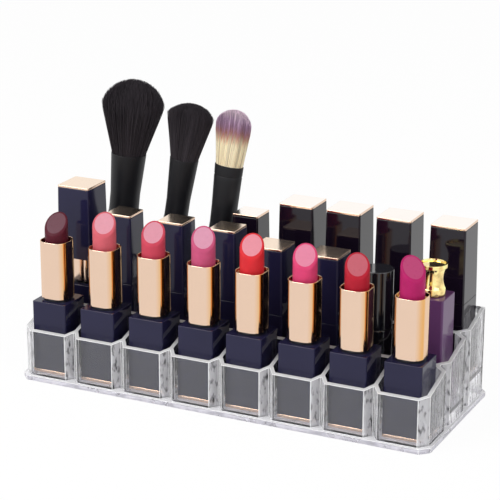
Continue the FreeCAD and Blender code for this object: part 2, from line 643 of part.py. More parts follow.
def brush_solids(name):
    """Handle, ferrule and hair of a brush, upright on the origin."""
    if name == "powder_brush":
        handle = (POWDER_FOOT_DIAMETER, POWDER_BULGE_DIAMETER, POWDER_JOINT_DIAMETER)
        sleeve = (POWDER_JOINT_DIAMETER, POWDER_MOUTH_DIAMETER, POWDER_MOUTH_DIAMETER, POWDER_MOUTH_HEIGHT)
        hair = powder_hair()
    elif name == "blush_brush":
        handle = (BLUSH_FOOT_DIAMETER, BLUSH_BULGE_DIAMETER, BLUSH_JOINT_DIAMETER)
        sleeve = (BLUSH_JOINT_DIAMETER, BLUSH_MOUTH_WIDTH, BLUSH_MOUTH_THICKNESS, BLUSH_MOUTH_HEIGHT)
        hair = blush_hair().fuse(hair_root(*sleeve)).removeSplitter()
    else:
        handle = (FOUNDATION_FOOT_DIAMETER, FOUNDATION_BULGE_DIAMETER, FOUNDATION_JOINT_DIAMETER)
        sleeve = (FOUNDATION_JOINT_DIAMETER, FOUNDATION_MOUTH_WIDTH, FOUNDATION_MOUTH_THICKNESS,
                  FOUNDATION_MOUTH_HEIGHT)
        hair = foundation_hair().fuse(hair_root(*sleeve)).removeSplitter()
    return {"handle": brush_handle(*handle), "ferrule": brush_ferrule(*sleeve), "hair": hair}


# Export
def write(name, solids, placement):
    """Writes one node's solids, moved to where they stand."""
    shape = solids[0] if len(solids) == 1 else Part.makeCompound(solids)
    moved = shape.copy()
    moved.Placement = placement.multiply(moved.Placement)
    moved.exportStep(f"parts/{name}.step")


def standing(place):
    """Placement of an upright thing."""
    return FreeCAD.Placement(place, FreeCAD.Rotation())


def main():
    """Builds every node and writes it to the parts folder."""
    os.makedirs("parts", exist_ok=True)
    write("organizer_tray", [organizer_tray()], FreeCAD.Placement())

    rim = rim_height(STANDARD_CASE_HEIGHT, STANDARD_CAP_HEIGHT)
    length = wax_length(STANDARD_CASE_HEIGHT, STANDARD_CAP_HEIGHT)
    for index in range(1, COLUMNS + 1):
        name = f"front_lipstick_{index}"
        place = standing(front_place(index))
        tip = rim + BULLET_SHOWS[index - 1]
        write(f"{name}_case", lipstick_case(STANDARD_SIDE, STANDARD_CASE_HEIGHT), place)
        write(f"{name}_tube", [lipstick_tube(*STANDARD)], place)
        write(f"{name}_bullet", lipstick_bullet(STANDARD_SIDE, tip, length, FACET_TURNS[index - 1]), place)

    for name, row, column, sizes, shift, lift in CLOSED_LIPSTICKS:
        side, case_height, cap_height = sizes
        place = slot_place(row, column, side, shift)
        tip = rim_height(case_height, cap_height) - TIP_BELOW_RIM
        length = wax_length(case_height, cap_height)
        inside = [lipstick_tube(*sizes)] + lipstick_bullet(side, tip, length, 0.0)
        write(f"{name}_case", lipstick_case(side, case_height) + inside, standing(place))
        write(f"{name}_cap", lipstick_cap(*sizes), standing(place + Vector(0, 0, lift)))

    write("lip_gloss_bottle", gloss_bottle(), standing(GLOSS_PLACE))
    write("lip_gloss_cap", gloss_cap(), standing(GLOSS_PLACE))
    write("purple_vial_body", vial_body(), standing(VIAL_PLACE))
    write("purple_vial_stopper", vial_stopper(), standing(VIAL_PLACE))

    for name, column, lean, foot_diameter, shift in BRUSHES:
        placement = brush_placement(column, lean, foot_diameter, shift)
        for piece, solid in brush_solids(name).items():
            write(f"{name}_{piece}", [solid], placement)


main()
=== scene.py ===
"""Dresses the stocked clear organizer: its tray, lipsticks, lip gloss, vial and makeup brushes.

Everything is in metres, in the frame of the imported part. Each piece stands where the part has it.
"""

import json
import math

import bmesh
import bpy
import numpy as np
from mathutils import Matrix, Vector


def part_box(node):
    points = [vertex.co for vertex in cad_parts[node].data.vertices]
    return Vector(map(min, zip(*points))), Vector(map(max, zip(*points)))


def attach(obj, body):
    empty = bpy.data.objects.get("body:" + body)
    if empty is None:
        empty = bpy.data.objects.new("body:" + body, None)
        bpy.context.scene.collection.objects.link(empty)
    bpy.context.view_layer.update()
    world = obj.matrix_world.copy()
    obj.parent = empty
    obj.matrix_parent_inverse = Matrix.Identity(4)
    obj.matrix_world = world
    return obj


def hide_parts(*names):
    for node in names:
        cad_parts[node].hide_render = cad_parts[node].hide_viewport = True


bl_info = {
    "name": "Stocked Lipstick Organizer",
    "version": (1, 0, 0),
    "blender": (4, 5, 0),
    "location": "3D View > Sidebar > Organizer",
    "description": "Dresses a clear organizer with its lipsticks, lip gloss, vial and brushes",
    "category": "Object",
}

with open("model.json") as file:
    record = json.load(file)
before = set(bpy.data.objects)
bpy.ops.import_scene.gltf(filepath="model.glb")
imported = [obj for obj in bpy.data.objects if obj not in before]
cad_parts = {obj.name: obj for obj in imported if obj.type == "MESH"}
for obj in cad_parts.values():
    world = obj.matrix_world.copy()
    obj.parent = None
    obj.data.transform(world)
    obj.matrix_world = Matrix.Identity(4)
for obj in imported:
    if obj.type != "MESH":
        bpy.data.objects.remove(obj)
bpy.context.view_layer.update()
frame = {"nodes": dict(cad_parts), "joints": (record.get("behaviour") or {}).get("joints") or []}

MM = 0.001

# Sizes of lipsticks, shared with the part
FOOT_PLATE = 1.6 * MM
COLLAR_HEIGHT = 1.5 * MM
SPIGOT_HEIGHT = 1.8 * MM
TUBE_WALL = 0.5 * MM
TUBE_CORNER_SHARE = 0.342
TURNING_CLEARANCE = 0.2 * MM
CUP_HEIGHT = 6.5 * MM
CUP_WALL = 0.8 * MM
CUP_GAP = 0.3 * MM
WAX_CLEARANCE = 0.1 * MM
FACET_SLOPE = 40.0
TIP_BELOW_RIM = 1.0 * MM
CAP_WALL = 0.85 * MM
CAP_CLEARANCE = 0.25 * MM
CAP_TOP = 2.5 * MM
CAP_TAPER = 1.0 * MM
CAP_PLATE = 1.2 * MM
DRAWN_CAP_LIFT = 14.0 * MM

# Sizes of the lip gloss, shared with the part
GLOSS_NECK_RADIUS = 5.0 * MM
GLOSS_NECK_HEIGHT = 9.0 * MM
GLOSS_WALL = 1.4 * MM
GLOSS_CLEARANCE = 0.25 * MM
WAND_RADIUS = 1.2 * MM
WAND_TIP_RADIUS = 2.0 * MM
WAND_TIP_LENGTH = 9.0 * MM

# Sizes of the vial and its stopper, shared with the part
VIAL_BORE = 3.2 * MM
STEM_RADIUS = 3.0 * MM
STEM_LENGTH = 12.0 * MM
SPOOL_FOOT_RADIUS = 6.3 * MM
SPOOL_WAIST_RADIUS = 5.1 * MM
SPOOL_TOP_RADIUS = 6.9 * MM
SPOOL_FOOT_HEIGHT = 4.0 * MM
SPOOL_EDGE_HEIGHT = 2.0 * MM
SPOOL_DISH = 0.8 * MM

# Sizes of the brushes, shared with the part, in millimetres in the table
BULGE_HEIGHT = 33.0 * MM
JOINT_HEIGHT = 58.0 * MM
SLEEVE_HEIGHT = 67.0 * MM
FERRULE_WALL = 0.6 * MM
BRUSHES = {
    "powder_brush": {
        "foot": 9.0, "bulge": 18.0, "joint": 16.0, "mouth": (18.8, 18.8), "head": (33.7, 33.7),
        "mouth_height": 88.6, "flare": 25.8, "rise": 14.3, "band": 4.0, "groove": 0.02, "scatter": 0.9},
    "blush_brush": {
        "foot": 8.0, "bulge": 15.2, "joint": 12.6, "mouth": (15.5, 14.2), "head": (26.5, 17.2),
        "mouth_height": 89.8, "flare": 22.4, "rise": 7.3, "band": 4.0, "groove": 0.02, "scatter": 0.8},
    "foundation_brush": {
        "foot": 8.0, "bulge": 14.5, "joint": 13.8, "mouth": (16.0, 10.4), "head": (20.3, 6.8),
        "mouth_height": 88.8, "flare": 19.0, "rise": 10.4, "band": 5.5, "groove": 0.22, "scatter": 0.5},
}

# Roundings and small gaps of the visual model
LEAST_CORNER = 0.05 * MM
COLLAR_SINK = 0.1 * MM
TUBE_SEAT_GAP = 0.01 * MM
CUP_DEPTH = 1.0 * MM
FACET_SOFTNESS = 1.15 * MM
FACET_RUN = 2.0 * MM
CAP_SEAM = 0.04 * MM
CAP_MOUTH_BEVEL = 0.1 * MM
GLOSS_EDGE = 0.5 * MM
WAND_TIP_EDGE = 1.2 * MM
VIAL_EDGE = 0.4 * MM
VIAL_CORNER = 1.0 * MM
STEM_GAP = 0.3 * MM
SPOOL_RIM = 0.25 * MM
TENON_GAP = 0.05 * MM
FERRULE_BEVEL = 0.1 * MM

# Steps round corners, circles, edges and arcs
CORNER_STEPS = 7
CIRCLE_STEPS = 4 * (CORNER_STEPS + 1)
CIRCLE_ANGLES = [2 * math.pi * step / CIRCLE_STEPS for step in range(CIRCLE_STEPS)]
EDGE_STEPS = 3
LIP_STEPS = 6
FACET_STEPS = 5
SPOOL_STEPS = 16
FOOT_STEPS = 8
HANDLE_STEPS = 24
SLEEVE_STEPS = 8

# Angles in degrees beyond which edges stay crisp
CRISP_ANGLE = 34.0
FERRULE_CRISP_ANGLE = 50.0
TRAY_CRISP_ANGLE = 40.0

# Cleaning and rounding of the tray: distance of equal points, angles of flat and of rounded edges in degrees
TRAY_WELD = 0.005 * MM
TRAY_FLAT_ANGLE = 0.5
TRAY_ROUNDED_ANGLE = 24.0

# Faces of the tray: widest wall top, thickness of its flange, and least shares of a direction
WALL_TOP_WIDTH = 4.0 * MM
FLANGE_THICKNESS = 2.6 * MM
RISING_SHARE = 0.15
LEVEL_SHARE = 0.99
SLANTED_SHARE = 0.2
SIDEWAYS_SHARE = 0.9

# Bending of light in the clear plastic
PLASTIC_IOR = 1.47

CLOSED_LIPSTICKS = ([f"middle_lipstick_{index}" for index in range(1, 7)]
                    + [f"rear_lipstick_{index}" for index in range(4, 9)])

# Direction that each open bullet's facet faces, in degrees from the front towards the right
FACET_TURNS = (8.0, 21.0, 18.0, 25.0, 18.0, 20.0, 24.0, 41.0)

# Painted highlight on each open bullet's upward facet: how much paler it is than its side, and the colour it
# pales towards
FACET_PAINTED_HIGHLIGHT_SHARES = (0.06, 0.37, 0.39, 0.39, 0.40, 0.30, 0.16, 0.06)
PAINTED_HIGHLIGHT_COLOUR = (0.80, 0.60, 0.72)

# Painted reflection round a tube, as a depth of gold: 0 on its front and back, where the pale gold stands for
# a highlight, rising to 1 round the corners, less on the flat sides
PAINTED_BAND_START = 0.5
PAINTED_BAND_WIDTH = 0.45
PAINTED_FLAT_START = 0.99
PAINTED_FLAT_DEPTH = 0.45

# Near black of the collars: painted shadow under the tubes
COLLAR_SHADOW_COLOUR = (0.008, 0.008, 0.014)
TUFT_COLOUR = (0.30, 0.05, 0.07)

# Hair: places and colours up the two-toned head, shares of lengths and tones, root depth in millimetres
TWO_TONE_STOPS = (
    (0.0, (0.90, 0.78, 0.54)), (0.54, (0.98, 0.88, 0.64)), (0.65, (0.58, 0.25, 0.17)),
    (0.74, (0.42, 0.24, 0.33)), (0.90, (0.52, 0.34, 0.53)), (1.0, (0.80, 0.64, 0.74)))
TIP_LIGHTNESS = 1.25
TONE_JITTER = 0.20
DARK_STRAND = 0.6
LIGHT_STRAND = 1.45
ROOT_SHARE = 0.46
SWAY_SHARE = 0.5
LEAN_SHARE = 0.8
TIP_THINNING = 0.6
ROOT_DEPTH = 1.0
HAIR_POINTS = 7
HAIR_SIDES = 3
HAIR_LENGTHS = ("Mouth Width", "Mouth Thickness", "Head Width", "Head Thickness", "Mouth Height",
                "Widest Height", "Tip Height", "Dome Radius", "Scatter", "Strand Radius")

# Places of the lamps and the camera, what they look at, and the floor
KEY_PLACE = (-0.55, -0.75, 0.95)
KEY_SIZE = 0.7
FILL_PLACE = (0.75, -0.45, 0.70)
FILL_SIZE = 0.8
LAMP_AIM = (0.0, 0.0, 0.06)
CAMERA_PLACE = (0.3932, -0.82275, 0.3711)
CAMERA_AIM = (-0.00025, -0.00225, 0.07394)
CAMERA_ROLL = 0.17
SENSOR_WIDTH = 36.0
FLOOR_REACH = 4.0
FLOOR_HEIGHT = -0.1 * MM


# Settings
def colour_setting(name, description, default):
    """Setting that holds a colour."""
    return bpy.props.FloatVectorProperty(name=name, description=description, default=default, size=3,
                                         subtype="COLOR", min=0.0, max=1.0)


def length_setting(name, description, default, least=0.0):
    """Setting that holds a small length."""
    return bpy.props.FloatProperty(name=name, description=description, default=default, min=least,
                                   precision=5, unit="LENGTH")


class ORGANIZER_PG_tray(bpy.types.PropertyGroup):
    """Look of the clear tray."""

    edge_radius: length_setting("Edge radius", "Rounding of the moulding's edges", 0.45 * MM)
    tint: colour_setting("Tint", "Colour of the clear plastic", (0.985, 0.985, 0.992))
    wall_tint: colour_setting(
        "Wall tint", "Colour of the rippled end walls and notches", (0.94, 0.935, 0.965))
    # Rounded edges and wall tops, pale and nearly opaque: painted highlight on the clear plastic
    edge_highlight_colour: colour_setting("Edge colour", "Pale rims and rounded edges", (0.98, 0.98, 0.99))
    floor_colour: colour_setting("Floor colour", "Cloudy floors and flange", (0.87, 0.85, 0.93))


class ORGANIZER_PG_lipstick(bpy.types.PropertyGroup):
    """Look of the lipsticks, the lip gloss and the vial."""

    edge_radius: length_setting("Edge radius", "Rounding of the edges of cases and caps", 0.3 * MM)
    corner_radius: length_setting(
        "Corner radius", "Rounding of the upright edges of cases and caps", 0.8 * MM)
    case_colour: colour_setting("Case colour", "Lacquer of cases and caps", (0.015, 0.014, 0.045))
    rear_colour: colour_setting("Rear colour", "Lacquer in the rear row", (0.007, 0.004, 0.010))
    gold_colour: colour_setting("Gold colour", "Polished tubes and edges of plates", (0.81, 0.59, 0.45))
    # Deeper gold of the tubes' corners and sides: painted reflection
    painted_deep_gold_colour: colour_setting("Deep gold colour", "Sides of the polished tubes", (0.80, 0.43, 0.14))
    # Plate tops: the rear row's are painted whiter than the middle row's, as painted reflection of the bright
    # sky
    middle_plate_colour: colour_setting(
        "Middle plate colour", "Tops of the plates in the middle row", (0.93, 0.74, 0.57))
    rear_plate_colour: colour_setting(
        "Rear plate colour", "Tops of the plates in the rear row", (1.0, 0.94, 0.88))
    stopper_colour: colour_setting("Stopper colour", "Polished stopper of the vial", (0.92, 0.70, 0.30))
    vial_colour: colour_setting("Vial colour", "Body of the vial", (0.105, 0.040, 0.125))
    gloss_colour: colour_setting("Gloss colour", "Bottle and cap of the lip gloss", (0.006, 0.006, 0.009))


class ORGANIZER_PG_wax(bpy.types.PropertyGroup):
    """Colours of the open bullets, from the left."""

    plum: colour_setting("Plum", "First bullet", (0.085, 0.011, 0.021))
    salmon: colour_setting("Salmon", "Second bullet", (0.60, 0.114, 0.143))
    coral_rose: colour_setting("Coral rose", "Third bullet", (0.54, 0.058, 0.095))
    orchid: colour_setting("Orchid", "Fourth bullet", (0.525, 0.083, 0.182))
    coral_red: colour_setting("Coral red", "Fifth bullet", (0.64, 0.027, 0.035))
    hot_pink: colour_setting("Hot pink", "Sixth bullet", (0.64, 0.053, 0.157))
    rose_red: colour_setting("Rose red", "Seventh bullet", (0.43, 0.015, 0.032))
    magenta: colour_setting("Magenta", "Eighth bullet", (0.416, 0.016, 0.119))


class ORGANIZER_PG_brush(bpy.types.PropertyGroup):
    """Look of the brushes."""

    strands: bpy.props.IntProperty(
        name="Strands", description="Hairs in each brush head", default=4800, min=100, max=5200)
    strand_radius: length_setting("Strand radius", "Radius of a hair at its root", 0.16 * MM, least=0.01 * MM)
    seed: bpy.props.IntProperty(name="Seed", description="Arrangement of the hairs", default=7, min=0)
    handle_colour: colour_setting("Handle colour", "Lacquer of the handles", (0.006, 0.006, 0.008))
    hair_colour: colour_setting("Hair colour", "Hair of the dark brushes", (0.036, 0.030, 0.036))


class ORGANIZER_PG_stage(bpy.types.PropertyGroup):
    """Floor, light and camera."""

    floor_colour: colour_setting("Floor colour", "Colour of the floor", (0.96, 0.96, 0.962))
    floor_glow: bpy.props.FloatProperty(
        name="Floor whiteness", description="Share of plain white that the camera sees in the floor",
        default=0.955, min=0.0, max=1.0, subtype="FACTOR")
    sky: bpy.props.FloatProperty(
        name="Sky", description="Level of the even light", default=0.55, min=0.0)
    key: bpy.props.FloatProperty(
        name="Key light", description="Power of the main lamp", default=9.0, min=0.0, unit="POWER")
    fill: bpy.props.FloatProperty(
        name="Fill light", description="Power of the second lamp", default=3.0, min=0.0, unit="POWER")
    lens: bpy.props.FloatProperty(
        name="Lens", description="Focal length of the camera", default=137.5, min=1.0, unit="CAMERA")


# Rings of points
def square_ring(side, corner, height):
    """Points of a level square with rounded corners, counter-clockwise from the right side."""
    radius = min(corner, side / 2 * 0.98)
    start = side / 2 - radius
    points = []
    for quarter in range(4):
        middle = math.radians(90 * quarter + 45)
        centre_x = math.copysign(start, math.cos(middle))
        centre_y = math.copysign(start, math.sin(middle))
        for step in range(CORNER_STEPS + 1):
            angle = math.radians(90 * quarter + 90 * step / CORNER_STEPS)
            points.append(Vector((centre_x + radius * math.cos(angle),
                                  centre_y + radius * math.sin(angle), height)))
    return points


def oval_ring(width, thickness, height):
    """Points of a level ellipse."""
    return [Vector((width / 2 * math.cos(angle), thickness / 2 * math.sin(angle), height))
            for angle in CIRCLE_ANGLES]


def round_ring(radius, height):
    """Points of a level circle."""
    return oval_ring(2 * radius, 2 * radius, height)


def edge_profile(low, high, edge):
    """Pairs of inset and height that round the lower and upper edges of an upright block."""
    angles = [math.pi / 2 * step / EDGE_STEPS for step in range(EDGE_STEPS + 1)]
    lower = [(edge * (1 - math.sin(angle)), low + edge * (1 - math.cos(angle))) for angle in angles]
    upper = [(edge * (1 - math.cos(angle)), high - edge * (1 - math.sin(angle))) for angle in angles]
    return lower + upper


def round_profile(radius, low, high, edge):
    """Pairs of radius and height of an upright cylinder with rounded edges."""
    return [(radius - inset, height) for inset, height in edge_profile(low, high, edge)]


def block_rings(low_side, high_side, corner, low, high, edge):
    """Rings of an upright block of rounded square section, tapered evenly, with rounded edges."""
    rings = []
    for inset, height in edge_profile(low, high, edge):
        side = low_side + (high_side - low_side) * (height - low) / (high - low) - 2 * inset
        rings.append(square_ring(side, max(corner - inset, LEAST_CORNER), height))
    return rings


def arc_points(start, middle, end, steps):
    """Points on the circle through three (radius, height) points, from the first to the last."""
    (ax, ay), (bx, by), (cx, cy) = start, middle, end
    twice = 2 * (ax * (by - cy) + bx * (cy - ay) + cx * (ay - by))
    a_sum, b_sum, c_sum = ax * ax + ay * ay, bx * bx + by * by, cx * cx + cy * cy
    ox = (a_sum * (by - cy) + b_sum * (cy - ay) + c_sum * (ay - by)) / twice
    oy = (a_sum * (cx - bx) + b_sum * (ax - cx) + c_sum * (bx - ax)) / twice
    radius = math.hypot(ax - ox, ay - oy)
    first = math.atan2(ay - oy, ax - ox)
    halfway = math.remainder(math.atan2(by - oy, bx - ox) - first, 2 * math.pi)
    turn = math.remainder(math.atan2(cy - oy, cx - ox) - first, 2 * math.pi)
    if halfway * turn < 0:
        turn -= math.copysign(2 * math.pi, turn)
    angles = [first + turn * step / steps for step in range(steps + 1)]
    return [(ox + radius * math.cos(angle), oy + radius * math.sin(angle)) for angle in angles]


# Meshes
class Shell:
    """Collects stacks of rings into one mesh with a material for each stack."""

    def __init__(self):
        self.points = []
        self.faces = []
        self.slots = []
        self.marks = []

    def stack(self, rings, slot=0, low=True, loop=False, late=None, marks=None):
        """Joins rings of equal length one after another, and closes the ends or the loop.

        A late pair of band and slot gives the bands from that one on, and the upper end, another material.
        Marks are numbers kept at the points of every ring; they deepen the gold as a painted reflection.
        """
        first = len(self.points)
        count = len(rings[0])
        late_band, late_slot = late or (len(rings), slot)
        for ring in rings:
            self.points += ring
            self.marks += marks or [0.0] * count
        for band in range(len(rings) if loop else len(rings) - 1):
            a = first + band * count
            b = first + (band + 1) % len(rings) * count
            for step in range(count):
                after = (step + 1) % count
                self.faces.append((a + step, a + after, b + after, b + step))
            self.slots += [late_slot if band >= late_band else slot] * count
        if loop:
            return
        if low:
            self.faces.append(tuple(range(first + count - 1, first - 1, -1)))
            self.slots.append(slot)
        last = first + (len(rings) - 1) * count
        self.faces.append(tuple(range(last, last + count)))
        self.slots.append(late_slot)

    def turned(self, profile, slot=0):
        """Solid of revolution through (radius, height) pairs."""
        self.stack([round_ring(max(radius, 0.0), height) for radius, height in profile], slot)

    def piece(self, name, materials, place, crisp_angle=CRISP_ANGLE):
        """Makes the object, with its place in its mesh and crisp flat faces."""
        mesh = bpy.data.meshes.new(name)
        mesh.from_pydata([place @ point for point in self.points], [], self.faces)
        for material in materials:
            mesh.materials.append(material)
        mesh.polygons.foreach_set("material_index", self.slots)
        mesh.polygons.foreach_set("use_smooth", [True] * len(mesh.polygons))
        # Painted reflection: depth of gold kept at the points
        if any(self.marks):
            mesh.attributes.new("painted_reflection_depth", "FLOAT", "POINT").data.foreach_set("value", self.marks)
        mesh.update()
        mesh.validate()
        mesh.set_sharp_from_angle(angle=math.radians(crisp_angle))
        return add_object(name, weighted(mesh))


def add_object(name, mesh):
    """Puts a mesh, a lamp or a camera into the scene under its own name."""
    piece = bpy.data.objects.new(name, mesh)
    bpy.context.scene.collection.objects.link(piece)
    return piece


def baked(piece):
    """Plain mesh of an object with its modifiers applied; the object itself is removed."""
    depsgraph = bpy.context.evaluated_depsgraph_get()
    mesh = bpy.data.meshes.new_from_object(piece.evaluated_get(depsgraph), depsgraph=depsgraph)
    bpy.data.objects.remove(piece)
    return mesh


def weighted(mesh):
    """Mesh whose normals follow its large faces, so that flat sides mirror as flat."""
    carrier = add_object("weighted", mesh)
    modifier = carrier.modifiers.new("weighted", "WEIGHTED_NORMAL")
    modifier.keep_sharp = True
    modifier.weight = 100
    return baked(carrier)


def settle(piece, body, slot, *nodes):
    """Lets a piece ride on its body and hides the nodes that it is built in place of; the slot is not used.
    """
    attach(piece, body)
    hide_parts(*nodes)


def footing(node):
    """Matrix that stands a piece on the middle of a node's foot, with the node's width and height."""
    low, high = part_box(node)
    place = Matrix.Translation(((low.x + high.x) / 2, (low.y + high.y) / 2, low.z))
    return place, high.x - low.x, high.z - low.z


def span(node, place):
    """Heights of a node's lowest and highest points above a foot."""
    return [corner.z - place.translation.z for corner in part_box(node)]


# Nodes
def connect(tree, node, inputs):
    """Fills a node's inputs with plain values, or with links from sockets."""
    for name, value in inputs.items():
        if isinstance(value, bpy.types.NodeSocket):
            tree.links.new(value, node.inputs[name])
        else:
            node.inputs[name].default_value = value


def add_node(tree, kind, inputs=None, **settings):
    """Adds a node, sets its options and fills its inputs."""
    made = tree.nodes.new(kind)
    for name, value in settings.items():
        setattr(made, name, value)
    connect(tree, made, inputs or {})
    return made


def field(tree, operation, *values, clamp=False):
    """Result of a math node whose inputs are sockets or plain numbers."""
    return add_node(tree, "ShaderNodeMath", dict(enumerate(values)), operation=operation,
                    use_clamp=clamp).outputs[0]


def scaled(tree, colour, share):
    """A colour times a number."""
    return add_node(tree, "ShaderNodeVectorMath", {0: colour, "Scale": share}, operation="SCALE").outputs[0]


def object_place(tree):
    """Place on the object, for textures."""
    return add_node(tree, "ShaderNodeTexCoord").outputs["Object"]


def kept_number(tree, name):
    """Number kept at the points of a mesh."""
    return add_node(tree, "ShaderNodeAttribute", attribute_name=name).outputs["Fac"]


def socket(tree, name, kind, output=False):
    """Adds a named socket to a node group."""
    tree.interface.new_socket(name=name, in_out="OUTPUT" if output else "INPUT",
                              socket_type=f"NodeSocket{kind}")


# Materials
def surface_group():
    """Group that varies a colour and a roughness a little over a surface."""
    known = bpy.data.node_groups.get("Surface Variation")
    if known is not None:
        return known
    tree = bpy.data.node_groups.new("Surface Variation", "ShaderNodeTree")
    socket(tree, "Colour", "Color")
    for label in ("Scale", "Colour Spread", "Roughness", "Roughness Spread"):
        socket(tree, label, "Float")
    socket(tree, "Colour", "Color", output=True)
    socket(tree, "Roughness", "Float", output=True)
    socket(tree, "Height", "Float", output=True)
    given = add_node(tree, "NodeGroupInput").outputs
    noise = add_node(tree, "ShaderNodeTexNoise", {
        "Vector": object_place(tree), "Scale": given["Scale"], "Detail": 4.0}).outputs["Fac"]
    centred = field(tree, "SUBTRACT", noise, 0.5)
    shade = field(tree, "MULTIPLY_ADD", centred, given["Colour Spread"], 1.0)
    rough = field(tree, "MULTIPLY_ADD", centred, given["Roughness Spread"], given["Roughness"], clamp=True)
    add_node(tree, "NodeGroupOutput", {
        "Colour": scaled(tree, given["Colour"], shade), "Roughness": rough, "Height": noise})
    return tree


def finish(name, colour, grain, spread, rough, rough_spread, bump=0.0, **sockets):
    """Material on the shared surface group, made once; other sockets of its shader get plain values.

    Grain is the scale of the variation, and the spreads are how far it changes the colour and the roughness.
    """
    known = bpy.data.materials.get(name)
    if known is not None:
        return known
    material = bpy.data.materials.new(name)
    material.use_nodes = True
    tree = material.node_tree
    surface = add_node(tree, "ShaderNodeGroup", node_tree=surface_group())
    connect(tree, surface, {"Colour": (*colour, 1.0), "Scale": grain, "Colour Spread": spread,
                            "Roughness": rough, "Roughness Spread": rough_spread})
    inputs = {label.replace("_", " "): value for label, value in sockets.items()}
    inputs["Base Color"] = surface.outputs["Colour"]
    inputs["Roughness"] = surface.outputs["Roughness"]
    if bump:
        inputs["Normal"] = add_node(tree, "ShaderNodeBump", {
            "Strength": bump, "Distance": 0.1 * MM, "Height": surface.outputs["Height"]}).outputs[0]
    connect(tree, tree.nodes["Principled BSDF"], inputs)
    return material


def recolour(material, colour):
    """Feeds a colour from a socket into a material's surface group."""
    tree = material.node_tree
    surface = next(node for node in tree.nodes if node.bl_idname == "ShaderNodeGroup")
    tree.links.new(colour, surface.inputs["Colour"])


def lacquer_of(name):
    """Glossy dark lacquer of cases and caps, blacker in the rear row."""
    look = bpy.context.scene.organizer_lipstick
    if name.startswith("rear"):
        return finish("rear_lacquer", look.rear_colour, grain=60.0, spread=0.3, rough=0.07, rough_spread=0.04,
                      bump=0.02, Specular_IOR_Level=0.4)
    return finish("case_lacquer", look.case_colour, grain=60.0, spread=0.3, rough=0.08, rough_spread=0.05,
                  bump=0.02, Specular_IOR_Level=0.28)


def rose_gold():
    """Polished metal of tubes and plates; the depth kept at a mesh's points makes it more golden, as a
    painted reflection.
    """
    known = bpy.data.materials.get("rose_gold")
    if known is not None:
        return known
    look = bpy.context.scene.organizer_lipstick
    material = finish("rose_gold", look.gold_colour, grain=90.0, spread=0.05, rough=0.12, rough_spread=0.05,
                      bump=0.01, Metallic=1.0)
    tree = material.node_tree
    # Painted reflection: blends in the deeper gold by the kept depth
    painted_reflection_mix = add_node(tree, "ShaderNodeMix", data_type="RGBA")
    connect(tree, painted_reflection_mix, {"Factor": kept_number(tree, "painted_reflection_depth"), "A": (*look.gold_colour, 1.0),
                             "B": (*look.painted_deep_gold_colour, 1.0)})
    recolour(material, painted_reflection_mix.outputs["Result"])
    return material


def plate_gold(name):
    """Paler mirror on the top of a cap's plate, deeper in the middle row; the rear row's whiter gold is
    painted reflection of the bright sky.
    """
    row = name.split("_")[0]
    colour = getattr(bpy.context.scene.organizer_lipstick, f"{row}_plate_colour")
    return finish(f"{row}_plate_gold", colour, grain=70.0, spread=0.03, rough=0.18, rough_spread=0.08,
                  bump=0.02, Metallic=1.0)


def clear_plastic(name, tint, ripple, painted_streak, clear=1.0, coat=0.0, upright=0.12):
    """Clear moulding that ripples in waves and darkens in them as painted shade; a smaller upright share
    draws them longer.
    """
    material = finish(name, tint, grain=45.0, spread=0.01, rough=0.015, rough_spread=0.01,
                      Transmission_Weight=clear, IOR=PLASTIC_IOR, Coat_Weight=coat)
    tree = material.node_tree
    drawn = add_node(tree, "ShaderNodeMapping", {"Vector": object_place(tree), "Scale": (1.0, 1.0, upright)})
    waves = add_node(tree, "ShaderNodeTexNoise", {
        "Vector": drawn.outputs[0], "Scale": 560.0, "Detail": 2.5}).outputs["Fac"]
    relief = add_node(tree, "ShaderNodeBump", {"Strength": ripple, "Distance": 0.5 * MM, "Height": waves})
    connect(tree, tree.nodes["Principled BSDF"], {"Normal": relief.outputs[0]})
    # Painted shade: the colour darkens in the waves by the streak share
    shade = add_node(tree, "ShaderNodeMapRange", {
        "Value": waves, "From Min": 0.30, "From Max": 0.50, "To Min": 1.0 - painted_streak})
    recolour(material, scaled(tree, tint, shade.outputs[0]))
    return material


def collar_shadow_black():
    """Collar under the tubes, a raised ring whose near black is painted shadow below the tubes' bottom edges.
    """
    return finish("collar_shadow_black", COLLAR_SHADOW_COLOUR, grain=120.0, spread=0.2, rough=0.25, rough_spread=0.06)


def wax(index):
    """Satin wax of a bullet, and the smoother wax of its facet, paler by a painted highlight where it faces
    the light.
    """
    colours = bpy.context.scene.organizer_wax
    tone = list(colours.__annotations__)[index]
    colour = getattr(colours, tone)
    glow = {"Subsurface_Weight": 0.1, "Subsurface_Radius": (0.0012, 0.0006, 0.0005), "Subsurface_Scale": 1.0}
    # Lit copy of the wax for the facet: painted highlight
    pale = [value + (light - value) * FACET_PAINTED_HIGHLIGHT_SHARES[index] for value, light in zip(colour, PAINTED_HIGHLIGHT_COLOUR)]
    return [finish(f"bullet_{tone}", colour, grain=260.0, spread=0.3, rough=0.42, rough_spread=0.12,
                   bump=0.06, Specular_IOR_Level=0.10, **glow),
            finish(f"facet_{tone}", pale, grain=700.0, spread=0.12, rough=0.30, rough_spread=0.15,
                   bump=0.05, Specular_IOR_Level=0.25, **glow)]


# Parts of a lipstick
def tube_side(side):
    """Side of the rounded square tube that a cap of this side slips over."""
    across = side - 2 * (CAP_WALL + CAP_CLEARANCE)
    return across / (math.sqrt(2) - 2 * TUBE_CORNER_SHARE * (math.sqrt(2) - 1))


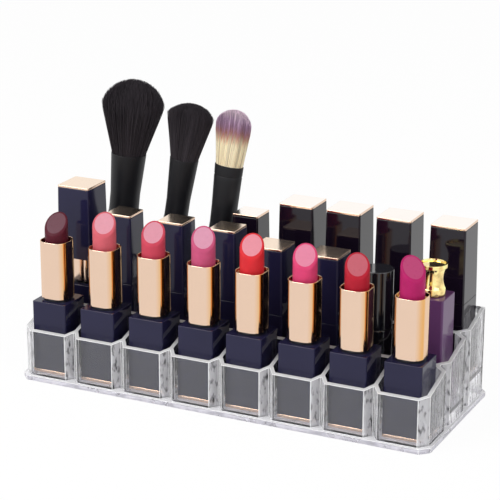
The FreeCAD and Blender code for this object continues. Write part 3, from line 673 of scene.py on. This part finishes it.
def add_case(shell, side, case_top, look):
    """Case with its foot plate, and the collar and spigot that carry the tube; slots 0, 1 and 2."""
    for slot, low, high in ((0, FOOT_PLATE, case_top), (1, 0.0, FOOT_PLATE)):
        shell.stack(block_rings(side, side, look.corner_radius, low, high, look.edge_radius), slot)
    collar = tube_side(side) / 2
    spigot = collar - TUBE_WALL - TURNING_CLEARANCE
    shoulder = case_top + COLLAR_HEIGHT
    shell.turned([(collar, case_top - COLLAR_SINK), (collar, shoulder - TUBE_SEAT_GAP),
                  (spigot, shoulder - TUBE_SEAT_GAP), (spigot, shoulder + SPIGOT_HEIGHT)], 2)


def add_tube(shell, side, low, high, slot):
    """Thin open tube of rounded square section, in a gold that deepens round its corners as a painted
    reflection.
    """
    outer = tube_side(side)
    corner = outer * TUBE_CORNER_SHARE
    lip = TUBE_WALL / 2
    rings = [square_ring(outer, corner, low)]
    for step in range(LIP_STEPS + 1):
        angle = math.pi * step / LIP_STEPS
        inset = lip * (1 - math.cos(angle))
        rings.append(square_ring(outer - 2 * inset, corner - inset, high - lip + lip * math.sin(angle)))
    rings.append(square_ring(outer - 2 * TUBE_WALL, corner - TUBE_WALL, low))
    # Painted reflection: pale gold on the front and back, deeper round the corners and on the flat sides
    painted_depths = []
    for quarter in range(4):
        for step in range(CORNER_STEPS + 1):
            sideways = abs(math.cos(math.pi / 2 * (quarter + step / CORNER_STEPS)))
            bent = min(max((sideways - PAINTED_BAND_START) / PAINTED_BAND_WIDTH, 0.0), 1.0)
            painted_depths.append(PAINTED_FLAT_DEPTH if sideways > PAINTED_FLAT_START else bent)
    shell.stack(rings, slot, loop=True, marks=painted_depths)


def add_bullet(shell, side, cup_low, tip, facet_turn, cup_slot, wax_slot):
    """Wax bullet with a slanted, softly edged facet, in its cup; the facet takes the slot after the wax."""
    cup = tube_side(side) / 2 - TUBE_WALL - TURNING_CLEARANCE
    bore = cup - CUP_WALL
    radius = bore - WAX_CLEARANCE
    cup_top = cup_low + CUP_HEIGHT
    wax_low = cup_top - CUP_DEPTH
    shell.turned([(cup, cup_low), (cup, cup_top), (bore, cup_top), (bore, wax_low)], cup_slot)
    slope = math.tan(math.radians(FACET_SLOPE))
    facing = math.radians(facet_turn - 90)

    def on_facet(share, angle):
        drop = slope * radius * (1 + share * math.cos(angle - facing))
        return Vector((share * radius * math.cos(angle), share * radius * math.sin(angle), tip - drop))

    rings = [round_ring(radius, wax_low), round_ring(radius, tip - 2 * slope * radius - FACET_RUN)]
    inner_share = 1 - FACET_SOFTNESS / radius
    for step in range(FACET_STEPS + 1):
        part = step / FACET_STEPS
        ring = []
        for angle in CIRCLE_ANGLES:
            edge = on_facet(1.0, angle)
            side_point = edge - Vector((0, 0, FACET_SOFTNESS))
            face_point = on_facet(inner_share, angle)
            bend = edge * (2 * part * (1 - part))
            ring.append(side_point * (1 - part) ** 2 + bend + face_point * part ** 2)
        rings.append(ring)
    facet_band = len(rings) - 1
    for share in (0.6, 0.25):
        rings.append([on_facet(inner_share * share, angle) for angle in CIRCLE_ANGLES])
    shell.stack(rings, wax_slot, low=False, late=(facet_band, wax_slot + 1))


# Operators
class ORGANIZER_OT_tray(bpy.types.Operator):
    """Rounds the edges of the clear tray"""

    bl_idname = "organizer.tray"
    bl_label = "Clear tray"

    def execute(self, context):
        look = context.scene.organizer_tray
        finishes = {
            "clear": clear_plastic("tray_clear", look.tint, ripple=0.02, painted_streak=0.0, coat=0.35),
            "rippled": clear_plastic("tray_rippled", look.wall_tint, ripple=1.0, painted_streak=0.30),
            # Rounded edges and wall tops let little light through and show pale: painted highlight
            "edge": finish("tray_edge_highlight", look.edge_highlight_colour, grain=400.0, spread=0.06, rough=0.22,
                           rough_spread=0.10, bump=0.05, Transmission_Weight=0.05, IOR=PLASTIC_IOR,
                           Coat_Weight=0.5),
            "floor": finish("tray_floor", look.floor_colour, grain=220.0, spread=0.9, rough=0.30,
                            rough_spread=0.20, bump=0.4, Transmission_Weight=0.6, IOR=PLASTIC_IOR),
            "rim": finish("tray_rim_highlight", look.edge_highlight_colour, grain=300.0, spread=0.12, rough=0.18,
                          rough_spread=0.12, bump=0.15, Transmission_Weight=0.4, IOR=PLASTIC_IOR),
            # Notches: strong painted shade in their waves
            "notch": clear_plastic("tray_notch", look.wall_tint, ripple=1.0, painted_streak=0.95, clear=0.58,
                                   upright=0.4),
        }
        mesh = frame["nodes"]["organizer_tray"].data.copy()
        mesh.name = "organizer_tray_moulding"
        mesh.materials.clear()
        shape = bmesh.new()
        shape.from_mesh(mesh)
        bmesh.ops.remove_doubles(shape, verts=shape.verts, dist=TRAY_WELD)
        bmesh.ops.dissolve_limit(shape, angle_limit=math.radians(TRAY_FLAT_ANGLE), verts=shape.verts,
                                 edges=shape.edges)
        least = math.radians(TRAY_ROUNDED_ANGLE)
        sharp = [edge for edge in shape.edges if edge.is_manifold and edge.calc_face_angle() > least]
        bevel = bmesh.ops.bevel(shape, geom=sharp, offset=look.edge_radius, segments=2, profile=0.5,
                                affect="EDGES", clamp_overlap=True)
        rounded = set(bevel["faces"])
        kinds = list(finishes)
        for face in shape.faces:
            face.material_index = kinds.index(self.kind_of(face, rounded))
        shape.to_mesh(mesh)
        shape.free()
        for material in finishes.values():
            mesh.materials.append(material)
        mesh.polygons.foreach_set("use_smooth", [True] * len(mesh.polygons))
        mesh.set_sharp_from_angle(angle=math.radians(TRAY_CRISP_ANGLE))
        tray = add_object("organizer_tray_moulding", weighted(mesh))
        settle(tray, "tray", "clear_plastic", "organizer_tray")
        return {"FINISHED"}

    def kind_of(self, face, rounded):
        """Kind of a face: rounded edge, top of a wall, floor or flange, slanted notch, end wall or panel."""
        normal = face.normal
        if face in rounded:
            return "edge"
        width = 2 * face.calc_area() / face.calc_perimeter()
        if normal.z > RISING_SHARE and width < WALL_TOP_WIDTH:
            return "rim"
        if abs(normal.z) > LEVEL_SHARE or face.calc_center_median().z < FLANGE_THICKNESS:
            return "floor"
        if min(abs(normal.x), abs(normal.y)) > SLANTED_SHARE:
            return "notch"
        return "rippled" if abs(normal.x) > SIDEWAYS_SHARE else "clear"


class ORGANIZER_OT_open_lipsticks(bpy.types.Operator):
    """Builds the open lipsticks of the front row"""

    bl_idname = "organizer.open_lipsticks"
    bl_label = "Open lipsticks"

    def execute(self, context):
        look = context.scene.organizer_lipstick
        for index, tone in enumerate(context.scene.organizer_wax.__annotations__):
            name = f"front_lipstick_{index + 1}"
            place, side, _ = footing(f"{name}_case")
            tube_low, tube_high = span(f"{name}_tube", place)
            cup_low, tip = span(f"{name}_bullet", place)
            case = Shell()
            add_case(case, side, tube_low - COLLAR_HEIGHT, look)
            finishes = [lacquer_of(name), rose_gold(), collar_shadow_black()]
            piece = case.piece(f"{name}_lacquered_case", finishes, place)
            settle(piece, name, "navy_plastic", f"{name}_case")
            tube = Shell()
            add_tube(tube, side, tube_low, tube_high, 0)
            piece = tube.piece(f"{name}_polished_tube", [rose_gold()], place)
            settle(piece, f"{name}_turning_tube", "gold_metal", f"{name}_tube")
            bullet = Shell()
            add_bullet(bullet, side, cup_low, tip, FACET_TURNS[index], 0, 1)
            piece = bullet.piece(f"{name}_wax_bullet", [rose_gold(), *wax(index)], place)
            settle(piece, f"{name}_wax", f"wax_{tone}", f"{name}_bullet")
        return {"FINISHED"}


class ORGANIZER_OT_closed_lipsticks(bpy.types.Operator):
    """Builds the capped lipsticks of the middle and rear rows"""

    bl_idname = "organizer.closed_lipsticks"
    bl_label = "Capped lipsticks"

    def execute(self, context):
        look = context.scene.organizer_lipstick
        for index, name in enumerate(CLOSED_LIPSTICKS):
            place, side, tube_high = footing(f"{name}_case")
            cap_low, cap_high = span(f"{name}_cap", place)
            case_top = cap_low - (DRAWN_CAP_LIFT if name == "middle_lipstick_1" else 0.0)
            tube_low = case_top + COLLAR_HEIGHT
            case = Shell()
            add_case(case, side, case_top, look)
            add_tube(case, side, tube_low, tube_high, 1)
            add_bullet(case, side, tube_low + SPIGOT_HEIGHT + CUP_GAP, tube_high - TIP_BELOW_RIM, 0.0, 1, 3)
            finishes = [lacquer_of(name), rose_gold(), collar_shadow_black(), *wax(index % len(FACET_PAINTED_HIGHLIGHT_SHARES))]
            piece = case.piece(f"{name}_lacquered_case", finishes, place)
            settle(piece, name, "navy_plastic", f"{name}_case")
            self.add_cap(name, side, cap_low + CAP_SEAM, cap_high, place, look)
        return {"FINISHED"}

    def add_cap(self, name, side, low, high, place, look):
        """Tapered cap with a round bore, and the polished plate on its top."""
        cap = Shell()
        plate_low = high - CAP_PLATE
        top_side = side - CAP_TAPER
        bore = side / 2 - CAP_WALL
        rings = [round_ring(bore, plate_low - CAP_TOP), round_ring(bore, low + CAP_MOUTH_BEVEL)]
        rings += block_rings(side, top_side, look.corner_radius, low, plate_low, look.edge_radius)
        cap.stack(rings, 0)
        plate = block_rings(top_side, top_side, look.corner_radius, plate_low, high, look.edge_radius)
        cap.stack(plate, 1, late=(len(plate), 2))
        piece = cap.piece(f"{name}_lacquered_cap", [lacquer_of(name), rose_gold(), plate_gold(name)], place)
        settle(piece, f"{name}_top", "navy_plastic", f"{name}_cap")


class ORGANIZER_OT_lip_gloss(bpy.types.Operator):
    """Builds the round lip gloss"""

    bl_idname = "organizer.lip_gloss"
    bl_label = "Lip gloss"

    def execute(self, context):
        place, width, mouth = footing("lip_gloss_bottle")
        tip_low, cap_high = span("lip_gloss_cap", place)
        tip_high = tip_low + WAND_TIP_LENGTH
        radius = width / 2
        shoulder = mouth - GLOSS_NECK_HEIGHT
        neck_bore = GLOSS_NECK_RADIUS - GLOSS_WALL
        inner = radius - GLOSS_WALL
        ceiling = shoulder - GLOSS_WALL
        lacquer = finish("gloss_black", context.scene.organizer_lipstick.gloss_colour, grain=70.0, spread=0.2,
                         rough=0.10, rough_spread=0.05, bump=0.02, Coat_Weight=0.4)
        bottle = Shell()
        bottle.turned(round_profile(radius, 0.0, shoulder, GLOSS_EDGE) + [
            (GLOSS_NECK_RADIUS, shoulder), (GLOSS_NECK_RADIUS, mouth), (neck_bore, mouth),
            (neck_bore, ceiling), (inner, ceiling), (inner, GLOSS_WALL)])
        piece = bottle.piece("lip_gloss_round_bottle", [lacquer], place)
        settle(piece, "lip_gloss", "black_plastic", "lip_gloss_bottle")
        cap = Shell()
        bore = GLOSS_NECK_RADIUS + GLOSS_CLEARANCE
        seat = mouth + GLOSS_CLEARANCE
        cap.turned([(bore, seat), (bore, shoulder)] + round_profile(radius, shoulder, cap_high, GLOSS_EDGE))
        cap.turned([(WAND_RADIUS, tip_high), (WAND_RADIUS, seat)])
        cap.turned(round_profile(WAND_TIP_RADIUS, tip_low, tip_high, WAND_TIP_EDGE), 1)
        tuft = finish("applicator_tuft", TUFT_COLOUR, grain=900.0, spread=0.4, rough=0.8, rough_spread=0.1,
                      bump=0.5)
        piece = cap.piece("lip_gloss_round_cap", [lacquer, tuft], place)
        settle(piece, "lip_gloss_top", "black_plastic", "lip_gloss_cap")
        return {"FINISHED"}


class ORGANIZER_OT_purple_vial(bpy.types.Operator):
    """Builds the square vial and its spool-shaped stopper"""

    bl_idname = "organizer.purple_vial"
    bl_label = "Purple vial"

    def execute(self, context):
        look = context.scene.organizer_lipstick
        place, side, height = footing("purple_vial_body")
        stem_low = height - STEM_LENGTH
        body = Shell()
        rings = block_rings(side, side, VIAL_CORNER, 0.0, height, VIAL_EDGE)
        rings += [round_ring(VIAL_BORE, height), round_ring(VIAL_BORE, stem_low - STEM_GAP)]
        body.stack(rings)
        lacquer = finish("vial_purple", look.vial_colour, grain=40.0, spread=0.3, rough=0.09,
                         rough_spread=0.04, bump=0.02, Specular_IOR_Level=0.22)
        piece = body.piece("purple_vial_square_body", [lacquer], place)
        settle(piece, "purple_vial", "purple_plastic", "purple_vial_body")

        top = span("purple_vial_stopper", place)[1]
        foot_top = height + SPOOL_FOOT_HEIGHT
        edge_low = top - SPOOL_EDGE_HEIGHT
        profile = [(STEM_RADIUS, stem_low), (STEM_RADIUS, height)]
        profile += round_profile(SPOOL_FOOT_RADIUS, height, foot_top, SPOOL_RIM * 2)[:-1]
        profile += arc_points((SPOOL_FOOT_RADIUS - SPOOL_RIM, foot_top),
                              (SPOOL_WAIST_RADIUS, (foot_top + edge_low) / 2),
                              (SPOOL_TOP_RADIUS - SPOOL_RIM, edge_low), SPOOL_STEPS)
        profile += round_profile(SPOOL_TOP_RADIUS, edge_low, top, SPOOL_RIM)[1:]
        inner = SPOOL_TOP_RADIUS - SPOOL_DISH
        profile += [(inner, top), (inner - SPOOL_RIM, top - SPOOL_DISH)]
        stopper = Shell()
        stopper.turned(profile)
        # The wide colour spread paints dark and bright blotches into the polished gold: painted reflection
        gold = finish("stopper_gold", look.stopper_colour, grain=240.0, spread=2.4, rough=0.08,
                      rough_spread=0.04, bump=0.35, Metallic=1.0)
        piece = stopper.piece("purple_vial_spool_stopper", [gold], place)
        settle(piece, "purple_vial_top", "gold_metal", "purple_vial_stopper")
        return {"FINISHED"}


# Brushes
def brush_place(name):
    """Matrix that stands an upright brush where the part has it."""
    joint = next(joint for joint in frame["joints"] if joint["name"] == f"{name}_lift")
    axis = Vector(joint["axis"]).normalized()
    turn = Vector((0, 0, 1)).rotation_difference(axis).to_matrix()
    mesh = frame["nodes"][f"{name}_handle"].data
    points = np.empty(len(mesh.vertices) * 3)
    mesh.vertices.foreach_get("co", points)
    upright = points.reshape(-1, 3) @ np.array(turn)
    low, high = upright.min(axis=0), upright.max(axis=0)
    foot = Vector(((low[0] + high[0]) / 2, (low[1] + high[1]) / 2, low[2]))
    return Matrix.Translation(turn @ foot) @ turn.to_4x4()


class ORGANIZER_OT_brush_handles(bpy.types.Operator):
    """Builds the handles and ferrules of the brushes"""

    bl_idname = "organizer.brush_handles"
    bl_label = "Brush handles"

    def execute(self, context):
        colour = context.scene.organizer_brush.handle_colour
        lacquer = finish("handle_lacquer", colour, grain=50.0, spread=0.3, rough=0.32, rough_spread=0.06,
                         bump=0.02, Specular_IOR_Level=0.4)
        metal = finish("ferrule_black", colour, grain=160.0, spread=0.3, rough=0.48, rough_spread=0.08,
                       bump=0.02, Specular_IOR_Level=0.28)
        for name, sizes in BRUSHES.items():
            place = brush_place(name)
            foot, bulge, joint = (sizes[key] / 2 * MM for key in ("foot", "bulge", "joint"))
            angles = [math.pi / 2 * step / FOOT_STEPS for step in range(1, FOOT_STEPS + 1)]
            profile = [(foot * math.sin(angle), foot * (1 - math.cos(angle))) for angle in angles]
            profile += arc_points((foot, foot), (bulge, BULGE_HEIGHT), (joint, JOINT_HEIGHT),
                                  HANDLE_STEPS)[1:]
            tenon = joint - FERRULE_WALL - TENON_GAP
            profile += [(tenon, JOINT_HEIGHT), (tenon, SLEEVE_HEIGHT)]
            handle = Shell()
            handle.turned(profile)
            piece = handle.piece(f"{name}_lacquered_handle", [lacquer], place)
            settle(piece, name, "black_lacquer", f"{name}_handle")
            ferrule = Shell()
            ferrule.stack(self.sleeve_rings(sizes, joint * 2), loop=True)
            piece = ferrule.piece(f"{name}_crimped_ferrule", [metal], place, FERRULE_CRISP_ANGLE)
            settle(piece, name, "black_metal", f"{name}_ferrule")
        return {"FINISHED"}

    def sleeve_rings(self, sizes, joint):
        """Outside of a ferrule from the handle to its mouth, over its rim and down its inside."""
        width, thickness = (size * MM for size in sizes["mouth"])
        mouth = sizes["mouth_height"] * MM
        band = mouth - sizes["band"] * MM
        groove = sizes["groove"] * MM
        bevel = FERRULE_BEVEL
        rise = band - 5 * bevel - SLEEVE_HEIGHT
        profile = [(JOINT_HEIGHT, bevel), (JOINT_HEIGHT + 3 * bevel, 0.0)]
        profile += [(SLEEVE_HEIGHT + rise * step / SLEEVE_STEPS, 0.0) for step in range(SLEEVE_STEPS + 1)]
        profile += [(band - 2 * bevel, groove), (band + 2 * bevel, groove), (band + 5 * bevel, 0.0)]
        profile += [(mouth - 2 * bevel, 0.0), (mouth, 1.5 * bevel), (mouth, FERRULE_WALL - bevel)]
        profile += [(height, FERRULE_WALL) for height in (mouth - 3 * bevel, SLEEVE_HEIGHT, JOINT_HEIGHT)]
        rings = []
        for height, inset in profile:
            share = min(max((height - SLEEVE_HEIGHT) / (mouth - SLEEVE_HEIGHT), 0.0), 1.0)
            rings.append(oval_ring(joint + (width - joint) * share - 2 * inset,
                                   joint + (thickness - joint) * share - 2 * inset, height))
        return rings


def random_field(tree, low, high, seed):
    """Random number for each hair."""
    return add_node(tree, "FunctionNodeRandomValue", {2: low, 3: high, "Seed": seed},
                    data_type="FLOAT").outputs[1]


def stored(tree, geometry, name, value):
    """Stores a number under a name on the points of a geometry."""
    return add_node(tree, "GeometryNodeStoreNamedAttribute", {
        "Geometry": geometry, "Name": name, "Value": value}, data_type="FLOAT", domain="POINT").outputs[0]


def named(tree, name):
    """Reads a stored number back."""
    return add_node(tree, "GeometryNodeInputNamedAttribute", {"Name": name},
                    data_type="FLOAT").outputs["Attribute"]


def hair_tree():
    """Tree that grows a brush head: strands from the ferrule's mouth that spread out and end in a dome."""
    tree = bpy.data.node_groups.new("Brush Hair", "GeometryNodeTree")
    socket(tree, "Geometry", "Geometry", output=True)
    socket(tree, "Strands", "Int")
    socket(tree, "Seed", "Int")
    for label in HAIR_LENGTHS:
        socket(tree, label, "Float")
    socket(tree, "Material", "Material")
    given = add_node(tree, "NodeGroupInput").outputs
    mouth, widest, tip = given["Mouth Height"], given["Widest Height"], given["Tip Height"]
    scatter, radius = given["Scatter"], given["Dome Radius"]

    def calc(operation, *values, clamp=False):
        return field(tree, operation, *values, clamp=clamp)

    def between(share, start, end):
        return calc("MULTIPLY_ADD", share, calc("SUBTRACT", end, start), start)

    # Roots spread evenly over a round of radius one
    geometry = add_node(tree, "GeometryNodePoints", {"Count": given["Strands"]}).outputs[0]
    seeds = [calc("ADD", given["Seed"], step) for step in range(5)]
    angle = random_field(tree, 0.0, 2 * math.pi, seeds[0])
    spread = calc("SQRT", random_field(tree, 0.0, 1.0, seeds[1]))
    numbers = {
        "hair_u": calc("MULTIPLY", spread, calc("COSINE", angle)),
        "hair_v": calc("MULTIPLY", spread, calc("SINE", angle)),
        "hair_tone": random_field(tree, 0.0, 1.0, seeds[2]),
        "hair_sway": random_field(tree, -1.0, 1.0, seeds[3]),
        "hair_reach": random_field(tree, -1.0, 0.0, seeds[4]),
    }
    for name, value in numbers.items():
        geometry = stored(tree, geometry, name, value)
    strand = add_node(tree, "GeometryNodeCurvePrimitiveLine", {"End": (0.0, 0.0, 1.0 * MM)})
    divided = add_node(tree, "GeometryNodeResampleCurve", {"Curve": strand.outputs[0], "Count": HAIR_POINTS})
    planted = add_node(tree, "GeometryNodeInstanceOnPoints", {
        "Points": geometry, "Instance": divided.outputs[0]})
    real = add_node(tree, "GeometryNodeRealizeInstances", {0: planted.outputs[0]})

    # A strand's tip lies on the dome above its place in the round
    u, v, tone, sway, reach = (named(tree, name) for name in numbers)
    half_width = calc("MULTIPLY", calc("SUBTRACT", given["Head Width"], scatter), 0.5)
    half_thickness = calc("MULTIPLY", calc("SUBTRACT", given["Head Thickness"], scatter), 0.5)
    aside = calc("MULTIPLY", u, half_width)
    deep = calc("MULTIPLY", v, half_thickness)
    squares = calc("ADD", calc("MULTIPLY", aside, aside), calc("MULTIPLY", deep, deep))
    under = calc("MAXIMUM", calc("SUBTRACT", calc("MULTIPLY", radius, radius), squares), 0.0)
    dome = calc("ADD", calc("SUBTRACT", tip, radius), calc("SQRT", under))
    strand_tip = calc("MULTIPLY_ADD", reach, scatter, dome)

    # Height along the strand, and how far the head has opened there
    along = add_node(tree, "GeometryNodeSplineParameter").outputs["Factor"]
    height = between(along, mouth, strand_tip)
    risen = calc("SUBTRACT", height, mouth)
    opened = calc("DIVIDE", risen, calc("SUBTRACT", widest, mouth), clamp=True)
    width = between(opened, calc("MULTIPLY", given["Mouth Width"], ROOT_SHARE), half_width)
    depth = between(opened, calc("MULTIPLY", given["Mouth Thickness"], ROOT_SHARE), half_thickness)
    loose = calc("MULTIPLY", calc("MULTIPLY", along, along), scatter)
    swaying = calc("MULTIPLY", sway, calc("MULTIPLY", loose, SWAY_SHARE))
    leaning = calc("MULTIPLY", calc("MULTIPLY", calc("SUBTRACT", tone, 0.5), loose), LEAN_SHARE)
    position = add_node(tree, "ShaderNodeCombineXYZ", {
        "X": calc("MULTIPLY_ADD", u, width, swaying), "Y": calc("MULTIPLY_ADD", v, depth, leaning),
        "Z": height})
    share = calc("DIVIDE", risen, calc("SUBTRACT", tip, mouth))
    moved = add_node(tree, "GeometryNodeSetPosition", {
        "Geometry": stored(tree, real.outputs[0], "hair_height", share), "Position": position.outputs[0]})

    section = add_node(tree, "GeometryNodeCurvePrimitiveCircle", {"Resolution": HAIR_SIDES, "Radius": 1.0})
    thinned = calc("MULTIPLY", given["Strand Radius"], calc("MULTIPLY_ADD", along, -TIP_THINNING, 1.0))
    solid = add_node(tree, "GeometryNodeCurveToMesh", {
        "Curve": moved.outputs[0], "Profile Curve": section.outputs[0], "Fill Caps": True, "Scale": thinned})
    whole = add_node(tree, "GeometryNodeRealizeInstances", {0: solid.outputs[0]})
    painted = add_node(tree, "GeometryNodeSetMaterial", {
        "Geometry": whole.outputs[0], "Material": given["Material"]})
    add_node(tree, "NodeGroupOutput", {"Geometry": painted.outputs[0]})
    return tree


def hair_finish(name, stops, roughness):
    """Hair whose colour runs up the head, with lighter and darker strands."""
    material = bpy.data.materials.new(name)
    material.use_nodes = True
    tree = material.node_tree
    tone = kept_number(tree, "hair_tone")
    risen = field(tree, "MULTIPLY_ADD", tone, TONE_JITTER, kept_number(tree, "hair_height"))
    ramp = add_node(tree, "ShaderNodeValToRGB", {"Fac": risen})
    elements = ramp.color_ramp.elements
    while len(elements) < len(stops):
        elements.new(0.5)
    for element, (place, colour) in zip(elements, stops):
        element.position = place
        element.color = (*colour, 1.0)
    shade = add_node(tree, "ShaderNodeMapRange", {
        "Value": tone, "To Min": DARK_STRAND, "To Max": LIGHT_STRAND})
    connect(tree, tree.nodes["Principled BSDF"], {
        "Base Color": scaled(tree, ramp.outputs["Color"], shade.outputs[0]), "Roughness": roughness,
        "Specular IOR Level": 0.25})
    return material


class ORGANIZER_OT_brush_hair(bpy.types.Operator):
    """Grows the hair of the brushes"""

    bl_idname = "organizer.brush_hair"
    bl_label = "Brush hair"

    def execute(self, context):
        look = context.scene.organizer_brush
        dark = tuple(look.hair_colour)
        light = tuple(TIP_LIGHTNESS * value for value in dark)
        charcoal = hair_finish("charcoal_strands", ((0.0, dark), (1.0, light)), 0.75)
        two_tone = hair_finish("two_tone_strands", TWO_TONE_STOPS, 0.6)
        tree = hair_tree()
        inputs = {item.name: item.identifier for item in tree.interface.items_tree if item.in_out == "INPUT"}
        for name, sizes in BRUSHES.items():
            foundation = name == "foundation_brush"
            carrier = add_object(f"{name}_grown", bpy.data.meshes.new(f"{name}_grown"))
            modifier = carrier.modifiers.new("hair", "NODES")
            modifier.node_group = tree
            half, rise = sizes["head"][0] / 2, sizes["rise"]
            widest = sizes["mouth_height"] + sizes["flare"]
            dome_radius = (half ** 2 + rise ** 2) / (2 * rise)
            lengths = (*sizes["mouth"], *sizes["head"], sizes["mouth_height"] - ROOT_DEPTH, widest,
                       widest + rise, dome_radius, sizes["scatter"])
            values = {label: length * MM for label, length in zip(HAIR_LENGTHS, lengths)}
            values["Strand Radius"] = look.strand_radius
            values["Strands"] = look.strands
            values["Seed"] = look.seed
            values["Material"] = two_tone if foundation else charcoal
            for label, value in values.items():
                modifier[inputs[label]] = value
            mesh = baked(carrier)
            for spare in ("hair_u", "hair_v", "hair_sway", "hair_reach"):
                if spare in mesh.attributes:
                    mesh.attributes.remove(mesh.attributes[spare])
            mesh.transform(brush_place(name))
            piece = add_object(f"{name}_strands", mesh)
            settle(piece, name, "tan_hair" if foundation else "charcoal_hair", f"{name}_hair")
        return {"FINISHED"}


# Stage
def seen_directly(tree):
    """1 for what the camera sees itself, in a mirror or through glass, and 0 for light on surfaces."""
    rays = add_node(tree, "ShaderNodeLightPath").outputs
    mirrored = field(tree, "MAXIMUM", rays["Is Glossy Ray"], rays["Is Transmission Ray"])
    return field(tree, "MAXIMUM", rays["Is Camera Ray"], mirrored)


def looking(place, aim):
    """Turn of a lamp or camera at a place towards its aim."""
    return (Vector(aim) - Vector(place)).to_track_quat("-Z", "Y")


class ORGANIZER_OT_stage(bpy.types.Operator):
    """Sets the floor, the light and the camera"""

    bl_idname = "organizer.stage"
    bl_label = "Stage"

    def execute(self, context):
        look = context.scene.organizer_stage
        context.scene.view_settings.view_transform = "Standard"
        self.add_floor(look)
        self.set_sky(look)
        self.add_lamp("key_lamp", KEY_PLACE, KEY_SIZE, look.key)
        self.add_lamp("fill_lamp", FILL_PLACE, FILL_SIZE, look.fill)
        self.add_camera(look)
        return {"FINISHED"}

    def add_floor(self, look):
        """Pale floor that keeps the object's shadow and shows as white."""
        mesh = bpy.data.meshes.new("floor")
        signs = ((-1, -1), (1, -1), (1, 1), (-1, 1))
        corners = [(x * FLOOR_REACH, y * FLOOR_REACH, FLOOR_HEIGHT) for x, y in signs]
        mesh.from_pydata(corners, [], [(0, 1, 2, 3)])
        floor = add_object("floor", mesh)
        material = bpy.data.materials.new("floor_paper")
        material.use_nodes = True
        tree = material.node_tree
        shader = tree.nodes["Principled BSDF"]
        connect(tree, shader, {
            "Base Color": (*look.floor_colour, 1.0), "Roughness": 0.9, "Specular IOR Level": 0.0})
        white = add_node(tree, "ShaderNodeEmission").outputs[0]
        share = field(tree, "MULTIPLY", seen_directly(tree), look.floor_glow)
        mix = add_node(tree, "ShaderNodeMixShader", {"Fac": share, 1: shader.outputs[0], 2: white})
        connect(tree, tree.nodes["Material Output"], {"Surface": mix.outputs[0]})
        mesh.materials.append(material)

    def set_sky(self, look):
        """Even white surroundings, seen at full white by the camera, metal and glass."""
        world = bpy.data.worlds.new("studio")
        bpy.context.scene.world = world
        world.use_nodes = True
        tree = world.node_tree
        level = add_node(tree, "ShaderNodeMapRange", {
            "Value": seen_directly(tree), "To Min": look.sky, "To Max": 1.0})
        connect(tree, tree.nodes["Background"], {"Color": (1.0, 1.0, 1.0, 1.0), "Strength": level.outputs[0]})

    def add_lamp(self, name, place, size, power):
        """Soft square lamp that faces the middle of the object."""
        lamp = bpy.data.lights.new(name, "AREA")
        lamp.shape = "SQUARE"
        lamp.size = size
        lamp.energy = power
        holder = add_object(name, lamp)
        holder.location = place
        holder.rotation_euler = looking(place, LAMP_AIM).to_euler()

    def add_camera(self, look):
        """Camera at the photograph's place."""
        data = bpy.data.cameras.new("camera")
        data.lens = look.lens
        data.sensor_width = SENSOR_WIDTH
        camera = add_object("camera", data)
        camera.location = CAMERA_PLACE
        roll = Matrix.Rotation(math.radians(CAMERA_ROLL), 4, "Z")
        turn = looking(CAMERA_PLACE, CAMERA_AIM).to_matrix().to_4x4()
        camera.rotation_euler = (turn @ roll).to_euler()
        bpy.context.scene.camera = camera


class ORGANIZER_PT_panel(bpy.types.Panel):
    """Lists the steps and settings of the organizer"""

    bl_idname = "ORGANIZER_PT_panel"
    bl_label = "Lipstick organizer"
    bl_space_type = "VIEW_3D"
    bl_region_type = "UI"
    bl_category = "Organizer"

    def draw(self, context):
        for operator in OPERATORS:
            self.layout.operator(operator.bl_idname)
        for name, group in SETTINGS.items():
            box = self.layout.box()
            for label in group.__annotations__:
                box.prop(getattr(context.scene, name), label)


SETTINGS = {
    "organizer_tray": ORGANIZER_PG_tray,
    "organizer_lipstick": ORGANIZER_PG_lipstick,
    "organizer_wax": ORGANIZER_PG_wax,
    "organizer_brush": ORGANIZER_PG_brush,
    "organizer_stage": ORGANIZER_PG_stage,
}
OPERATORS = (
    ORGANIZER_OT_tray,
    ORGANIZER_OT_open_lipsticks,
    ORGANIZER_OT_closed_lipsticks,
    ORGANIZER_OT_lip_gloss,
    ORGANIZER_OT_purple_vial,
    ORGANIZER_OT_brush_handles,
    ORGANIZER_OT_brush_hair,
    ORGANIZER_OT_stage,
)


def register():
    """Registers the settings, the operators and the panel."""
    for name, group in SETTINGS.items():
        bpy.utils.register_class(group)
        setattr(bpy.types.Scene, name, bpy.props.PointerProperty(type=group))
    for operator in OPERATORS:
        bpy.utils.register_class(operator)
    bpy.utils.register_class(ORGANIZER_PT_panel)


def unregister():
    """Removes what register added."""
    bpy.utils.unregister_class(ORGANIZER_PT_panel)
    for operator in reversed(OPERATORS):
        bpy.utils.unregister_class(operator)
    for name, group in reversed(SETTINGS.items()):
        delattr(bpy.types.Scene, name)
        bpy.utils.unregister_class(group)


def main():
    register()
    bpy.ops.organizer.tray()
    bpy.ops.organizer.open_lipsticks()
    bpy.ops.organizer.closed_lipsticks()
    bpy.ops.organizer.lip_gloss()
    bpy.ops.organizer.purple_vial()
    bpy.ops.organizer.brush_handles()
    bpy.ops.organizer.brush_hair()
    bpy.ops.organizer.stage()


if __name__ == "__main__":
    main()
